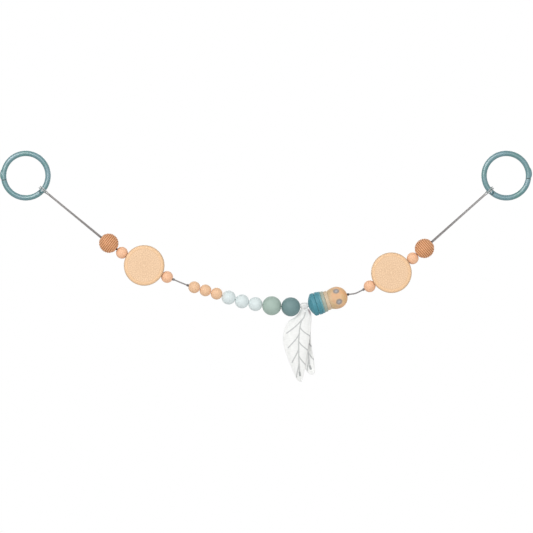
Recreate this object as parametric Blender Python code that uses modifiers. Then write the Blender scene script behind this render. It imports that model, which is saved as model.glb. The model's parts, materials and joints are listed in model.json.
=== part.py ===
"""A pram chain: wooden beads and a cloth-winged dragonfly strung between two snap rings.

The chain hangs as a garland in the X-Z plane: +X runs from the left ring to the right ring,
+Z is up and -Y is the front. The origin is the centre of the left ring. Lengths are in metres.
"""

import math

import bmesh
import bpy
import numpy as np
from mathutils import Matrix, Vector

MM = 0.001

# Fits
GAP = 0.3 * MM              # running gap between neighbouring solids
OVERRUN = 1.0 * MM          # how far a cutter passes the face it cuts
WELD = 0.01 * MM            # vertices closer than this are one

# Cord: one grey strand, doubled between the outer beads and the rings
STRAND = 1.1 * MM
PAIR_SPACING = 1.62 * MM    # centre to centre of the two legs of a sling
ROUND_TURN_PITCH = 1.85 * MM
ROUND_TURN_SLACK = 0.7 * MM
SLING_SPREAD = 13.0 * MM    # length over which the legs close in from the ring
SLING_LEAN = -37            # degrees: the legs lie one behind the other, turned a little aside
WRAP_TURNS = 1.5
KNOT_TURNS = 2
CORD_POINTS = 56
LEG_POINTS = 28
TURN_POINTS = 16

# The route of the cord in the X-Z plane, from ring centre to ring centre
ROUTE = [
    (0.0000, 0.0000), (0.0300, -0.02455), (0.0600, -0.0491), (0.0750, -0.06137),
    (0.0858, -0.0704), (0.0998, -0.0800), (0.1040, -0.0830), (0.1132, -0.0883),
    (0.1224, -0.0934), (0.1316, -0.0983), (0.1407, -0.1028), (0.1461, -0.1049),
    (0.1535, -0.1078), (0.1615, -0.1112),
    (0.1680, -0.1137), (0.1743, -0.1156), (0.1860, -0.1188), (0.1973, -0.1220),
    (0.2098, -0.1262), (0.2233, -0.1302), (0.2374, -0.1331), (0.2543, -0.1347),
    (0.2740, -0.1359), (0.2845, -0.1362), (0.2920, -0.1353), (0.3000, -0.1331),
    (0.3107, -0.1298), (0.3214, -0.1265), (0.3322, -0.1232), (0.3370, -0.1226),
    (0.3412, -0.1219), (0.3452, -0.1201), (0.3500, -0.1176), (0.3561, -0.1147),
    (0.3668, -0.1081), (0.3782, -0.1010), (0.3893, -0.0936), (0.4001, -0.0860),
    (0.4122, -0.0758), (0.4230, -0.0661), (0.4400, -0.0510), (0.4700, -0.0243),
    (0.4973, 0.0000),
]
ROUTE_SAMPLES = 24          # curve samples between two route points

# Snap rings
RING_RADIUS = 23.0 * MM     # centre line of the ring's round bar
RING_BAR = 5.7 * MM
RING_SEGMENTS = 42          # segments of a whole ring
GATE_SPAN = 125             # degrees of the ring that swing open
LEFT_HINGE_AT = 316.5       # degrees round the ring from +X towards +Z
RIGHT_HINGE_AT = 227.5
TONGUE = 1.6 * MM
PIN = 1.2 * MM
PIN_LENGTH = 4.6 * MM
NUB = 3.2 * MM
NUB_SUNK = 0.9 * MM         # the nub's centre lies this deep in the gate's end
LIP_LENGTH = 9.0 * MM
LIP_WIDTH = 5.0 * MM
LIP_DEPTH = 3.4 * MM
LIP_STAND = 0.95 * MM       # the thumb lip stands this proud of the bar
LIP_FROM_SEAM = 15          # degrees from the seam to the middle of the lip

# Beads
BORE = 3.0 * MM
MOUTH = 3.8 * MM
SMALL_BEAD = 12.3 * MM
PALE_BEAD = 14.5 * MM
LARGE_BEAD = 19.8 * MM
GROOVED_BEAD = 20.3 * MM
GROOVED_BORE = 4.4 * MM
GROOVED_MOUTH = 5.4 * MM
GROOVES = 9
GROOVE_DEPTH = 0.65 * MM
GROOVE_WIDTH = 1.0 * MM

# Flat discs
DISC = 42.0 * MM
DISC_THICKNESS = 12.0 * MM
DISC_EDGE = 2.6 * MM        # radius of the rounded rim edges
DISC_BORE = 3.6 * MM
DISC_MOUTH = 6.6 * MM

# Dragonfly: cap, three slices and neck on one axis with the head
CAP = 23.8 * MM
CAP_DOME = 4.85 * MM
CAP_RIM = 3.8 * MM
CAP_EDGE = 1.5 * MM
TEAL_SLICE = 23.8 * MM
TEAL_SLICE_THICKNESS = 3.6 * MM
THIN_SLICE = 23.0 * MM
THIN_SLICE_THICKNESS = 2.2 * MM
GREEN_SLICE = 21.9 * MM
GREEN_SLICE_THICKNESS = 2.9 * MM
NECK = 20.2 * MM
NECK_THICKNESS = 3.5 * MM
SLICE_EDGE_SHARE = 0.3      # of the thickness of a slice
HEAD = 22.9 * MM
HEAD_LONG = 13.8 * MM       # from the head's centre to where its neck end would close
HEAD_FLAT_SHARE = 0.70      # of the head's radius, from its centre to the neck face
EYE = 6.5 * MM
EYE_DEPTH = 0.5 * MM
EYE_FORWARD = 1.5 * MM      # along the body's axis from the head's centre
EYE_SPREAD = 6.1 * MM       # from the body's axis to the middle of an eye

# Stretches along the cord
FIRST_BEAD_AT = 110.8 * MM  # from the left ring's centre to the first bead's centre
BEAD_SPACE = 0.3 * MM       # between neighbouring beads
DISC_SPACE = 0.42 * MM      # between a disc and the small beads at its mouths
LEFT_END_SPACE = 1.45 * MM  # between a grooved bead and the next one
RIGHT_END_SPACE = 0.65 * MM
LEFT_BARE = 18.4 * MM
WING_BARE = 8.65 * MM
RIGHT_BARE = 19.4 * MM

# Cloth wings
SLEEVE = 4.6 * MM
SLEEVE_BORE = 2.6 * MM
SLEEVE_SPACE = 0.8 * MM       # between the sleeve and the beads at its ends
SLEEVE_EDGE_SHARE = 0.2      # of the sleeve's wall
CLOTH = 1.0 * MM
WING_CREASE = 0.8 * MM
CREASE_LOSS_SHARE = 0.6      # of a crease's depth, lost by the tip
ROOT_SHARES = 6              # root lengths in a wing, the creases growing over one
ROW_CLOSENESS = 1.25         # rows of the grid draw together towards the root
BELLY_FLATNESS = 0.7
FRONT_WING = 78.0 * MM
FRONT_BELLY = 3.2 * MM
REAR_WING = 70.8 * MM
REAR_BELLY = 2.4 * MM
WING_ROWS = 12
WING_COLUMNS = 10
CREASES = 2.5

# Wing outlines: shares of the wing's length, down from the cord, then left and right edges
FRONT_SHARES = [
    (0.043, -0.030, 0.036), (0.084, -0.054, 0.070), (0.137, -0.117, 0.084),
    (0.191, -0.200, 0.084), (0.270, -0.250, 0.081), (0.363, -0.275, 0.076),
    (0.456, -0.279, 0.062), (0.562, -0.256, 0.046), (0.669, -0.222, 0.029),
    (0.775, -0.179, 0.012), (0.868, -0.139, -0.004), (0.948, -0.106, -0.020),
    (0.994, -0.076, -0.031),
]
REAR_SHARES = [
    (0.047, -0.030, 0.040), (0.093, -0.020, 0.085), (0.151, -0.035, 0.108),
    (0.254, -0.060, 0.111), (0.400, -0.070, 0.111), (0.503, -0.070, 0.112),
    (0.605, -0.060, 0.121), (0.707, -0.035, 0.138), (0.824, -0.010, 0.154),
    (0.906, 0.015, 0.158), (0.956, 0.050, 0.158), (0.993, 0.090, 0.140),
]

PAINT = {
    "cord": ((0.28, 0.28, 0.29), 0.85),
    "ring_plastic": ((0.16, 0.31, 0.34), 0.30),
    "hinge_steel": ((0.35, 0.37, 0.38), 0.35),
    "grooved_wood": ((0.58, 0.27, 0.13), 0.60),
    "peach_wood": ((0.90, 0.52, 0.33), 0.55),
    "disc_wood": ((0.85, 0.58, 0.36), 0.55),
    "natural_wood": ((0.85, 0.55, 0.32), 0.55),
    "pale_blue": ((0.68, 0.78, 0.78), 0.45),
    "sage": ((0.37, 0.49, 0.44), 0.50),
    "slate_teal": ((0.17, 0.28, 0.29), 0.50),
    "body_teal": ((0.08, 0.29, 0.36), 0.40),
    "body_green": ((0.33, 0.40, 0.30), 0.45),
    "neck_beige": ((0.52, 0.44, 0.32), 0.50),
    "head_wood": ((0.78, 0.50, 0.28), 0.50),
    "cotton": ((0.90, 0.90, 0.87), 0.95),
}


def collection(name):
    """Return a new collection in the scene."""
    made = bpy.data.collections.new(name)
    bpy.context.scene.collection.children.link(made)
    return made


def material(name):
    """Return the named Principled material, made once."""
    found = bpy.data.materials.get(name)
    if found:
        return found
    made = bpy.data.materials.new(name)
    made.use_nodes = True
    colour, roughness = PAINT[name]
    shader = made.node_tree.nodes["Principled BSDF"]
    shader.inputs["Base Color"].default_value = (*colour, 1)
    shader.inputs["Roughness"].default_value = roughness
    shader.inputs["Metallic"].default_value = 1 if name == "hinge_steel" else 0
    return made


def add(name, data, matrix, paint):
    """Put data into the chain's collection as a named object."""
    made = bpy.data.objects.new(name, data)
    made.matrix_world = matrix
    data.materials.append(material(paint))
    chain.objects.link(made)
    return made


def along(centre, direction):
    """Return a frame whose Z follows the direction and whose X points to the front."""
    z_axis = Vector(direction).normalized()
    x_axis = Vector((0, -1, 0))
    y_axis = z_axis.cross(x_axis)
    turn = Matrix((x_axis, y_axis, z_axis)).transposed().to_4x4()
    return Matrix.Translation(Vector(centre)) @ turn


def across(centre, direction):
    """Return a frame whose X follows the direction and whose Z points to the front."""
    x_axis = Vector(direction).normalized()
    z_axis = Vector((0, -1, 0))
    y_axis = z_axis.cross(x_axis)
    turn = Matrix((x_axis, y_axis, z_axis)).transposed().to_4x4()
    return Matrix.Translation(Vector(centre)) @ turn


# Curves


def smooth_curve(points, samples):
    """Run a smooth curve through points: cubic spans whose tangents average the two chords."""
    points = np.asarray(points, float)
    chord = np.linalg.norm(np.diff(points, axis=0), axis=1)[:, None]
    slope = np.diff(points, axis=0) / chord
    inner = (slope[:-1] * chord[1:] + slope[1:] * chord[:-1]) / (chord[1:] + chord[:-1])
    tangent = np.vstack([slope[:1], inner, slope[-1:]])
    t = np.linspace(0, 1, samples, endpoint=False)[None, :, None]
    start, end = points[:-1, None], points[1:, None]
    go, come = tangent[:-1, None] * chord[:, None], tangent[1:, None] * chord[:, None]
    spans = (
        (2 * t**3 - 3 * t**2 + 1) * start
        + (t**3 - 2 * t**2 + t) * go
        + (3 * t**2 - 2 * t**3) * end
        + (t**3 - t**2) * come
    )
    return np.vstack([spans.reshape(-1, points.shape[1]), points[-1:]])


def lengths_along(curve):
    """Return the length from the curve's start to each of its points."""
    return np.concatenate([[0], np.cumsum(np.linalg.norm(np.diff(curve, axis=0), axis=1))])


def least_gap(points, diameter):
    """Return the least clear distance between stretches of a tube that aren't neighbours."""
    place = lengths_along(np.asarray(points))
    finer = np.arange(0, place[-1], diameter / 4)
    curve = np.stack([np.interp(finer, place, axis) for axis in np.transpose(points)], axis=1)
    place = finer
    apart = np.abs(place[:, None] - place[None, :]) > 4 * diameter
    distance = np.linalg.norm(curve[:, None] - curve[None, :], axis=2)
    return distance[apart].min() - diameter


def tube_curve(name, points, diameter, rings, shares=None):
    """Return a bevelled open curve through points, closed at both ends."""
    data = bpy.data.curves.new(name, "CURVE")
    data.dimensions = "3D"
    data.bevel_depth = diameter / 2
    data.bevel_resolution = rings
    data.use_fill_caps = True
    spline = data.splines.new("POLY")
    spline.points.add(len(points) - 1)
    shares = np.ones(len(points)) if shares is None else shares
    for target, point, share in zip(spline.points, points, shares):
        target.co = (*point, 1)
        target.radius = share
    return data


def as_mesh(data):
    """Turn a bevelled curve into one closed mesh."""
    guide = bpy.data.objects.new(data.name, data)
    bpy.context.scene.collection.objects.link(guide)
    graph = bpy.context.evaluated_depsgraph_get()
    mesh = bpy.data.meshes.new_from_object(guide.evaluated_get(graph))
    bpy.data.objects.remove(guide)
    work = bmesh.new()
    work.from_mesh(mesh)
    bmesh.ops.remove_doubles(work, verts=work.verts, dist=WELD)
    bmesh.ops.recalc_face_normals(work, faces=work.faces)
    work.to_mesh(mesh)
    work.free()
    mesh.shade_smooth()
    mesh.set_sharp_from_angle(angle=math.radians(40))
    return mesh


# Turned solids


def arc(centre, radius, start, stop, count):
    """Return points of an arc in a turned profile, angles in degrees from +Z towards +X."""
    angle = np.radians(np.linspace(start, stop, count))
    return [(centre[0] + radius * math.sin(a), centre[1] + radius * math.cos(a)) for a in angle]


def bored(outer, bore):
    """Close a profile round a bore, with a chamfer from its first and last radius."""
    top, bottom = outer[0], outer[-1]
    reach = bore / 2
    return outer + [(reach, bottom[1] + bottom[0] - reach), (reach, top[1] - top[0] + reach)]


def turn(data_name, profile, closed=True):
    """Return a mesh of one profile in the X-Z plane, ready for a Screw modifier."""
    mesh = bpy.data.meshes.new(data_name)
    count = len(profile)
    edges = [(i, i + 1) for i in range(count - 1)]
    if closed:
        edges.append((count - 1, 0))
    mesh.from_pydata([(x, 0, z) for x, z in profile], edges, [])
    return mesh


def screw(target, steps):
    """Spin a profile a full turn about the object's Z axis."""
    modifier = target.modifiers.new("turn", "SCREW")
    modifier.steps = steps
    modifier.render_steps = steps
    modifier.use_merge_vertices = True
    modifier.merge_threshold = WELD
    modifier.use_smooth_shade = True


def turned(name, profile, steps, matrix, paint, closed=True):
    """Add a turned solid."""
    made = add(name, turn(name, profile, closed), matrix, paint)
    screw(made, steps)
    return made


def ball_profile(diameter, mouth, bore, count):
    """Return the profile of a bored ball."""
    radius = diameter / 2
    edge = math.degrees(math.asin(mouth / diameter))
    return bored(arc((0, 0), radius, edge, 180 - edge, count), bore)


def grooved_profile():
    """Return the profile of the grooved ball: V grooves at even steps along its axis."""
    radius = GROOVED_BEAD / 2
    top = math.sqrt(radius**2 - (GROOVED_MOUTH / 2) ** 2)
    step = 2 * top / (GROOVES + 1)
    outer = [(GROOVED_MOUTH / 2, top)]
    for k in range(GROOVES):
        middle = top - (k + 1) * step
        for height, depth in ((GROOVE_WIDTH / 2, 0), (0, GROOVE_DEPTH), (-GROOVE_WIDTH / 2, 0)):
            z = middle + height
            outer.append((math.sqrt(radius**2 - z**2) - depth, z))
    outer.append((GROOVED_MOUTH / 2, -top))
    return bored(outer, GROOVED_BORE)


def slice_profile(diameter, thickness, edge, mouth, bore, count=4):
    """Return the profile of a bored slice with rounded edges."""
    half, inner = thickness / 2, diameter / 2 - edge
    outer = [(mouth / 2, half)]
    outer += arc((inner, half - edge), edge, 0, 90, count)
    outer += arc((inner, edge - half), edge, 90, 180, count)
    outer.append((mouth / 2, -half))
    return bored(outer, bore)


def cap_profile():
    """Return the profile of the domed cap, its dome pointing down and its flat face up."""
    height = CAP_DOME + CAP_RIM
    outer = [(MOUTH / 2, height / 2)]
    outer += arc((CAP / 2 - CAP_EDGE, height / 2 - CAP_EDGE), CAP_EDGE, 0, 90, 3)
    base = height / 2 - CAP_RIM
    for share in np.linspace(1, MOUTH / CAP, 7):
        outer.append((CAP / 2 * share, base - CAP_DOME * (1 - share**2)))
    return bored(outer, BORE)


def head_profile():
    """Return the profile of the head: half a ball, drawn out below to a flat for the neck."""
    radius = HEAD / 2
    flat = HEAD_FLAT_SHARE * radius
    first = math.degrees(math.asin(MOUTH / HEAD))
    outer = arc((0, 0), radius, first, 90, 7)
    for angle in np.linspace(math.pi / 2, math.acos(-flat / HEAD_LONG), 5)[1:]:
        outer.append((radius * math.sin(angle), HEAD_LONG * math.cos(angle)))
    outer.append((MOUTH / 2, -flat))
    return bored(outer, BORE)


def knot_profile():
    """Return the profile of a barrel knot: one round hump for each turn of the strand."""
    middle = STRAND + GAP
    outer = []
    for k in range(KNOT_TURNS):
        z = STRAND * ((KNOT_TURNS - 1) / 2 - k)
        outer += arc((middle, z), STRAND / 2, 20, 160, 3)
    bore = STRAND / 2 + GAP
    end = outer[0][1]
    return outer + [(bore, -end), (bore, end)]


# Cutters


def cutter(name, matrix):
    """Move the active primitive into the cutters' collection."""
    made = bpy.context.object
    made.name = name
    made.matrix_world = matrix
    for home in list(made.users_collection):
        home.objects.unlink(made)
    cutters.objects.link(made)
    made.hide_render = True
    made.display_type = "WIRE"
    return made


def round_cutter(name, diameter, length, matrix, sides=24):
    """Return a cylinder cutter along the matrix's Z axis."""
    bpy.ops.mesh.primitive_cylinder_add(vertices=sides, radius=diameter / 2, depth=length)
    return cutter(name, matrix)


def ball_tool(name, diameter, matrix, segments=16, rings=10):
    """Return a ball along the matrix's axes, to cut with or to add."""
    bpy.ops.mesh.primitive_uv_sphere_add(
        segments=segments, ring_count=rings, radius=diameter / 2
    )
    return cutter(name, matrix)


def turned_cutter(name, profile, steps, matrix):
    """Return a turned cutter whose profile starts and ends on the axis."""
    made = bpy.data.objects.new(name, turn(name, profile, closed=False))
    made.matrix_world = matrix
    cutters.objects.link(made)
    made.hide_render = True
    made.display_type = "WIRE"
    screw(made, steps)
    return made


def combine(target, tool, operation):
    """Add a Boolean with the exact solver."""
    modifier = target.modifiers.new(tool.name, "BOOLEAN")
    modifier.operation = operation
    modifier.object = tool
    modifier.solver = "EXACT"


# The string of beads


def ball_reach(diameter):
    """Return how far a ball reaches along the cord from its centre, past its bore's mouth."""
    return lambda mouth: math.sqrt(diameter**2 - mouth**2) / 2


def flat_reach(length):
    """Return how far a piece with flat ends reaches along the cord."""
    return lambda mouth: length


def stack_length():
    """Return the dragonfly's length from the cap's tip to the flat of the head."""
    thicknesses = (TEAL_SLICE_THICKNESS, THIN_SLICE_THICKNESS, GREEN_SLICE_THICKNESS, NECK_THICKNESS)
    return CAP_DOME + CAP_RIM + sum(thicknesses) + (len(thicknesses) + 1) * GAP


def string_table():
    """List what is on the cord: name, kind, mouth, reach before and reach after its centre."""
    small = ball_reach(SMALL_BEAD)
    pale = ball_reach(PALE_BEAD)
    large = ball_reach(LARGE_BEAD)
    grooved = ball_reach(GROOVED_BEAD)
    disc = flat_reach(DISC / 2)
    tip = flat_reach(stack_length() + HEAD / 2 * HEAD_FLAT_SHARE)
    head = ball_reach(HEAD)
    return [
        ("left_grooved_bead", "grooved", GROOVED_MOUTH, grooved, grooved, LEFT_END_SPACE),
        ("left_outer_small_bead", "small", MOUTH, small, small, DISC_SPACE),
        ("left_disc", "disc", DISC_MOUTH, disc, disc, DISC_SPACE),
        ("left_inner_small_bead", "small", MOUTH, small, small, LEFT_BARE),
        ("natural_bead_1", "natural", MOUTH, small, small, BEAD_SPACE),
        ("natural_bead_2", "natural", MOUTH, small, small, BEAD_SPACE),
        ("natural_bead_3", "natural", MOUTH, small, small, BEAD_SPACE),
        ("pale_bead_1", "pale", MOUTH, pale, pale, BEAD_SPACE),
        ("pale_bead_2", "pale", MOUTH, pale, pale, BEAD_SPACE),
        ("pale_bead_3", "pale", MOUTH, pale, pale, BEAD_SPACE),
        ("sage_bead", "sage", MOUTH, large, large, BEAD_SPACE),
        ("slate_bead", "slate", MOUTH, large, large, WING_BARE),
        ("head", "head", MOUTH, tip, head, RIGHT_BARE),
        ("right_inner_small_bead", "small", MOUTH, small, small, DISC_SPACE),
        ("right_disc", "disc", DISC_MOUTH, disc, disc, DISC_SPACE),
        ("right_outer_small_bead", "small", MOUTH, small, small, RIGHT_END_SPACE),
        ("right_grooved_bead", "grooved", GROOVED_MOUTH, grooved, grooved, 0),
    ]


def string_places():
    """Walk along the cord and return each piece's entry, centre and exit from the start."""
    table = string_table()
    places = {}
    centre = FIRST_BEAD_AT
    for i, (name, kind, mouth, before, after, space) in enumerate(table):
        places[name] = (kind, centre - before(mouth), centre, centre + after(mouth))
        if i + 1 < len(table):
            following = table[i + 1]
            contact = max(mouth, following[2])
            centre += after(contact) + space + following[3](contact)
    return places


def route_at(place):
    """Return the point of the cord at a length from its start, as a vector."""
    x = np.interp(place, route_length, route_line[:, 0])
    z = np.interp(place, route_length, route_line[:, 1])
    return Vector((x, 0, z))


def seat(entry, leave):
    """Return the middle of a straight bore from entry to leave, and its direction."""
    start, end = route_at(entry), route_at(leave)
    return (start + end) / 2, (end - start).normalized()


def make_disc(name, centre, direction):
    """Add a flat round disc, bored along its diameter."""
    half, inner = DISC_THICKNESS / 2, DISC / 2 - DISC_EDGE
    outer = [(0, half)]
    outer += arc((inner, half - DISC_EDGE), DISC_EDGE, 0, 90, 4)
    outer += arc((inner, DISC_EDGE - half), DISC_EDGE, 90, 180, 4)
    outer.append((0, -half))
    made = turned(name, outer, 36, across(centre, direction), "disc_wood", closed=False)
    flare = (DISC_MOUTH - DISC_BORE) / 2
    reach, bore = DISC / 2, DISC_BORE / 2
    wide = bore + flare + OVERRUN
    profile = [
        (0, reach + OVERRUN), (wide, reach + OVERRUN), (bore, reach - flare),
        (bore, flare - reach), (wide, -reach - OVERRUN), (0, -reach - OVERRUN),
    ]
    tool = turned_cutter(name + "_bore", profile, 14, along(centre, direction))
    combine(made, tool, "DIFFERENCE")


def make_bead(name, kind, centre, direction):
    """Add one turned bead of a kind."""
    matrix = along(centre, direction)
    if kind == "disc":
        make_disc(name, centre, direction)
    elif kind == "grooved":
        turned(name, grooved_profile(), 20, matrix, "grooved_wood")
    elif kind == "small":
        turned(name, ball_profile(SMALL_BEAD, MOUTH, BORE, 8), 16, matrix, "peach_wood")
    elif kind == "natural":
        turned(name, ball_profile(SMALL_BEAD, MOUTH, BORE, 8), 16, matrix, "natural_wood")
    elif kind == "pale":
        turned(name, ball_profile(PALE_BEAD, MOUTH, BORE, 8), 16, matrix, "pale_blue")
    elif kind == "sage":
        turned(name, ball_profile(LARGE_BEAD, MOUTH, BORE, 10), 20, matrix, "sage")
    elif kind == "slate":
        turned(name, ball_profile(LARGE_BEAD, MOUTH, BORE, 10), 20, matrix, "slate_teal")


def make_dragonfly(entry, leave):
    """Add the dragonfly's cap, slices, neck and head on one straight axis."""
    start, direction = route_at(entry), seat(entry, leave)[1]
    place = 0
    height = CAP_DOME + CAP_RIM
    turned("body_cap", cap_profile(), 20, along(start + direction * height / 2, direction), "body_teal")
    place += height + GAP
    slices = (
        ("body_slice_teal", TEAL_SLICE, TEAL_SLICE_THICKNESS, "body_teal"),
        ("body_slice_thin", THIN_SLICE, THIN_SLICE_THICKNESS, "body_teal"),
        ("body_slice_green", GREEN_SLICE, GREEN_SLICE_THICKNESS, "body_green"),
        ("neck_slice", NECK, NECK_THICKNESS, "neck_beige"),
    )
    for name, diameter, thickness, paint in slices:
        middle = start + direction * (place + thickness / 2)
        profile = slice_profile(diameter, thickness, thickness * SLICE_EDGE_SHARE, MOUTH, BORE, 3)
        turned(name, profile, 20, along(middle, direction), paint)
        place += thickness + GAP
    centre = start + direction * (place + HEAD / 2 * HEAD_FLAT_SHARE)
    matrix = along(centre, direction)
    head = turned("head", head_profile(), 22, matrix, "head_wood")
    forward = math.sqrt((HEAD / 2) ** 2 - EYE_SPREAD**2 - EYE_FORWARD**2)
    for side in (1, -1):
        towards = Vector((forward, side * EYE_SPREAD, EYE_FORWARD))
        turn_to = towards.to_track_quat("Z", "Y").to_matrix().to_4x4()
        outside = towards.normalized() * (HEAD / 2 - EYE_DEPTH + OVERRUN)
        name = "upper_eye_cut" if side > 0 else "lower_eye_cut"
        tool = round_cutter(
            name, EYE, 2 * OVERRUN, matrix @ Matrix.Translation(outside) @ turn_to, 16
        )
        combine(head, tool, "DIFFERENCE")


def make_knot(name, bead_face, direction):
    """Add a barrel knot that stops a bead on the cord."""
    half = KNOT_TURNS * STRAND / 2
    place = bead_face + direction * (half + GAP)
    centre, heading = seat(place - half, place + half)
    turned(name, knot_profile(), 12, along(centre, heading), "cord")


# Cords


def make_main_cord(start, end):
    """Add the strand that runs through every bead."""
    points = [route_at(place) for place in np.linspace(start + GAP / 2, end - GAP / 2, CORD_POINTS)]
    add("main_cord", tube_curve("main_cord", points, STRAND, 2), Matrix(), "cord")


def sling_points(centre, bead):
    """Run both legs of a sling between a bead and the round turn on a ring's bar."""
    out = np.array((bead - centre).normalized())
    front = np.array((0, -1, 0))
    side = np.cross(out, front)
    bar = np.array(centre) + out * RING_RADIUS
    wrap = RING_BAR / 2 + GAP + STRAND / 2
    drift = WRAP_TURNS * ROUND_TURN_PITCH / 2
    far = (bead - centre).length - RING_RADIUS - GAP / 2
    run = np.linspace(far, 0, LEG_POINTS)
    lean = math.radians(SLING_LEAN)
    share = np.clip(run / SLING_SPREAD, 0, 1)
    ease = (3 * share**2 - 2 * share**3)[:, None]

    def leg(sign):
        near = sign * (wrap * front - drift * side)
        paired = sign * PAIR_SPACING / 2 * (math.cos(lean) * front + math.sin(lean) * side)
        return bar + run[:, None] * out + near * (1 - ease) + paired * ease

    angle = np.linspace(0, WRAP_TURNS * math.tau, int(WRAP_TURNS * TURN_POINTS) + 1)[1:-1]
    reach = wrap + ROUND_TURN_SLACK * np.clip(np.sin(angle), 0, 1) ** 2
    drifted = drift * (2 * angle / (WRAP_TURNS * math.tau) - 1)
    turns = (
        bar
        - (reach * np.sin(angle))[:, None] * out
        + (reach * np.cos(angle))[:, None] * front
        + drifted[:, None] * side
    )
    return np.vstack([leg(1), turns, leg(-1)[::-1]])


def make_sling(name, centre, bead):
    """Add one doubled cord between a ring and its grooved bead."""
    points = sling_points(centre, bead)
    add(name, tube_curve(name, points, STRAND, 2), Matrix(), "cord")
    print(f"{name}: least gap to itself {least_gap(points, STRAND) / MM:.2f} mm")


# Rings


def ring_point(degrees):
    """Return a point of the ring's centre line in the ring's own frame."""
    angle = math.radians(degrees)
    return Vector((RING_RADIUS * math.cos(angle), 0, RING_RADIUS * math.sin(angle)))


def bar_curve(name, hinge, seam, shift):
    """Return a round bar from the hinge, where its nose is rounded, to the seam."""
    span = abs(seam - hinge)
    count = round(RING_SEGMENTS * span / 360)
    heading = 1 if seam > hinge else -1
    nose_shares = (0.97, 0.80, 0.50)
    points, shares = [], []
    for share in nose_shares:
        step = math.degrees(share * RING_BAR / 2 / RING_RADIUS)
        points.append(ring_point(hinge - heading * step) - shift)
        shares.append(math.sqrt(1 - share**2))
    square_end = math.degrees(GAP / RING_RADIUS)
    angles = list(np.linspace(hinge, seam, count + 1))
    for angle in angles[:-1] + [seam - heading * square_end, seam]:
        points.append(ring_point(angle) - shift)
        shares.append(1)
    return tube_curve(name, points, RING_BAR, 3, shares)


def make_ring(side, centre, hinge, heading):
    """Add a bow, a gate and the pin they share. The gate runs from the hinge by heading."""
    seam = hinge + heading * GATE_SPAN
    seam_gap = math.degrees(GAP / RING_RADIUS)
    pin_place = ring_point(hinge)
    facing = Matrix.Rotation(math.radians(90), 4, "X")
    at_ring = Matrix.Translation(centre)
    at_pin = Matrix.Translation(centre + pin_place)

    bow_end = hinge - heading * (360 - GATE_SPAN - seam_gap)
    bow_name = side + "_ring_bow"
    bow = add(bow_name, as_mesh(bar_curve(bow_name, hinge, bow_end, Vector())), at_ring, "ring_plastic")
    gate_name = side + "_ring_gate"
    gate = add(gate_name, as_mesh(bar_curve(gate_name, hinge, seam, pin_place)), at_pin, "ring_plastic")

    swing = RING_BAR + 2 * GAP
    slot = round_cutter(side + "_slot", swing, TONGUE + 2 * GAP, at_pin @ facing, 28)
    combine(bow, slot, "DIFFERENCE")
    for way in (1, -1):
        middle = Vector((0, way * (TONGUE + RING_BAR) / 2, 0))
        name = f"{side}_cheek_{'back' if way > 0 else 'front'}"
        cheek = round_cutter(name, swing, RING_BAR, at_pin @ Matrix.Translation(middle) @ facing, 28)
        combine(gate, cheek, "DIFFERENCE")
    hole = round_cutter(side + "_pin_hole", PIN + 2 * GAP, RING_BAR + 2 * OVERRUN, at_pin @ facing, 14)
    combine(bow, hole, "DIFFERENCE")
    combine(gate, hole, "DIFFERENCE")

    inward = math.degrees(NUB_SUNK / RING_RADIUS)
    at_nub = Matrix.Translation(centre + ring_point(seam - heading * inward))
    combine(gate, ball_tool(side + "_nub", NUB, at_nub), "UNION")
    combine(bow, ball_tool(side + "_dimple", NUB + 2 * GAP, at_nub), "DIFFERENCE")

    lip_at = seam + heading * LIP_FROM_SEAM
    outward = ring_point(lip_at).normalized()
    depth = RING_RADIUS + RING_BAR / 2 + LIP_STAND - LIP_DEPTH / 2
    stretch = Matrix.Diagonal((LIP_DEPTH / LIP_LENGTH, LIP_WIDTH / LIP_LENGTH, 1, 1))
    tilt = Matrix.Rotation(-math.radians(lip_at), 4, "Y")
    at_lip = Matrix.Translation(centre + outward * depth) @ tilt @ stretch
    combine(bow, ball_tool(side + "_lip", LIP_LENGTH, at_lip, 14, 8), "UNION")

    bpy.ops.mesh.primitive_cylinder_add(vertices=12, radius=PIN / 2, depth=PIN_LENGTH)
    pin = bpy.context.object
    pin.name = side + "_hinge_pin"
    pin.matrix_world = at_pin @ facing
    pin.data.materials.append(material("hinge_steel"))
    pin.data.shade_smooth()
    pin.data.set_sharp_from_angle(angle=math.radians(40))
    for home in list(pin.users_collection):
        home.objects.unlink(pin)
    chain.objects.link(pin)


# Wings


def make_wing(name, centre, length, belly, table, facing, phase):
    """Add one cloth wing: a grid drawn to the outline, bellied, creased at its root."""
    rows = smooth_curve(table, ROUTE_SAMPLES)
    mesh = bpy.data.meshes.new(name)
    work = bmesh.new()
    bmesh.ops.create_grid(work, x_segments=WING_COLUMNS, y_segments=WING_ROWS, size=1)
    first, last = table[0][0], table[-1][0]
    for vert in work.verts:
        across_share, down_share = (vert.co.x + 1) / 2, (1 - vert.co.y) / 2
        down = first + (last - first) * down_share**ROW_CLOSENESS
        left = np.interp(down, rows[:, 0], rows[:, 1])
        right = np.interp(down, rows[:, 0], rows[:, 2])
        x = left + (right - left) * across_share
        cross_belly = math.sin(math.pi * across_share) ** BELLY_FLATNESS
        bow_out = belly * math.sin(math.pi * down) * cross_belly
        wave = 1 + math.sin(math.tau * CREASES * across_share + phase)
        fade = (1 - CREASE_LOSS_SHARE * down_share) * min(1, ROOT_SHARES * down_share)
        crease = WING_CREASE * wave * fade
        out = CLOTH / 2 + GAP / 2 + bow_out + crease
        vert.co = (x * length, facing * out, -down * length)
    work.to_mesh(mesh)
    work.free()
    mesh.shade_smooth()
    made = add(name, mesh, Matrix.Translation(centre), "cotton")
    wall = made.modifiers.new("cloth", "SOLIDIFY")
    wall.thickness = CLOTH
    wall.offset = 0
    wall.use_even_offset = True


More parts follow.
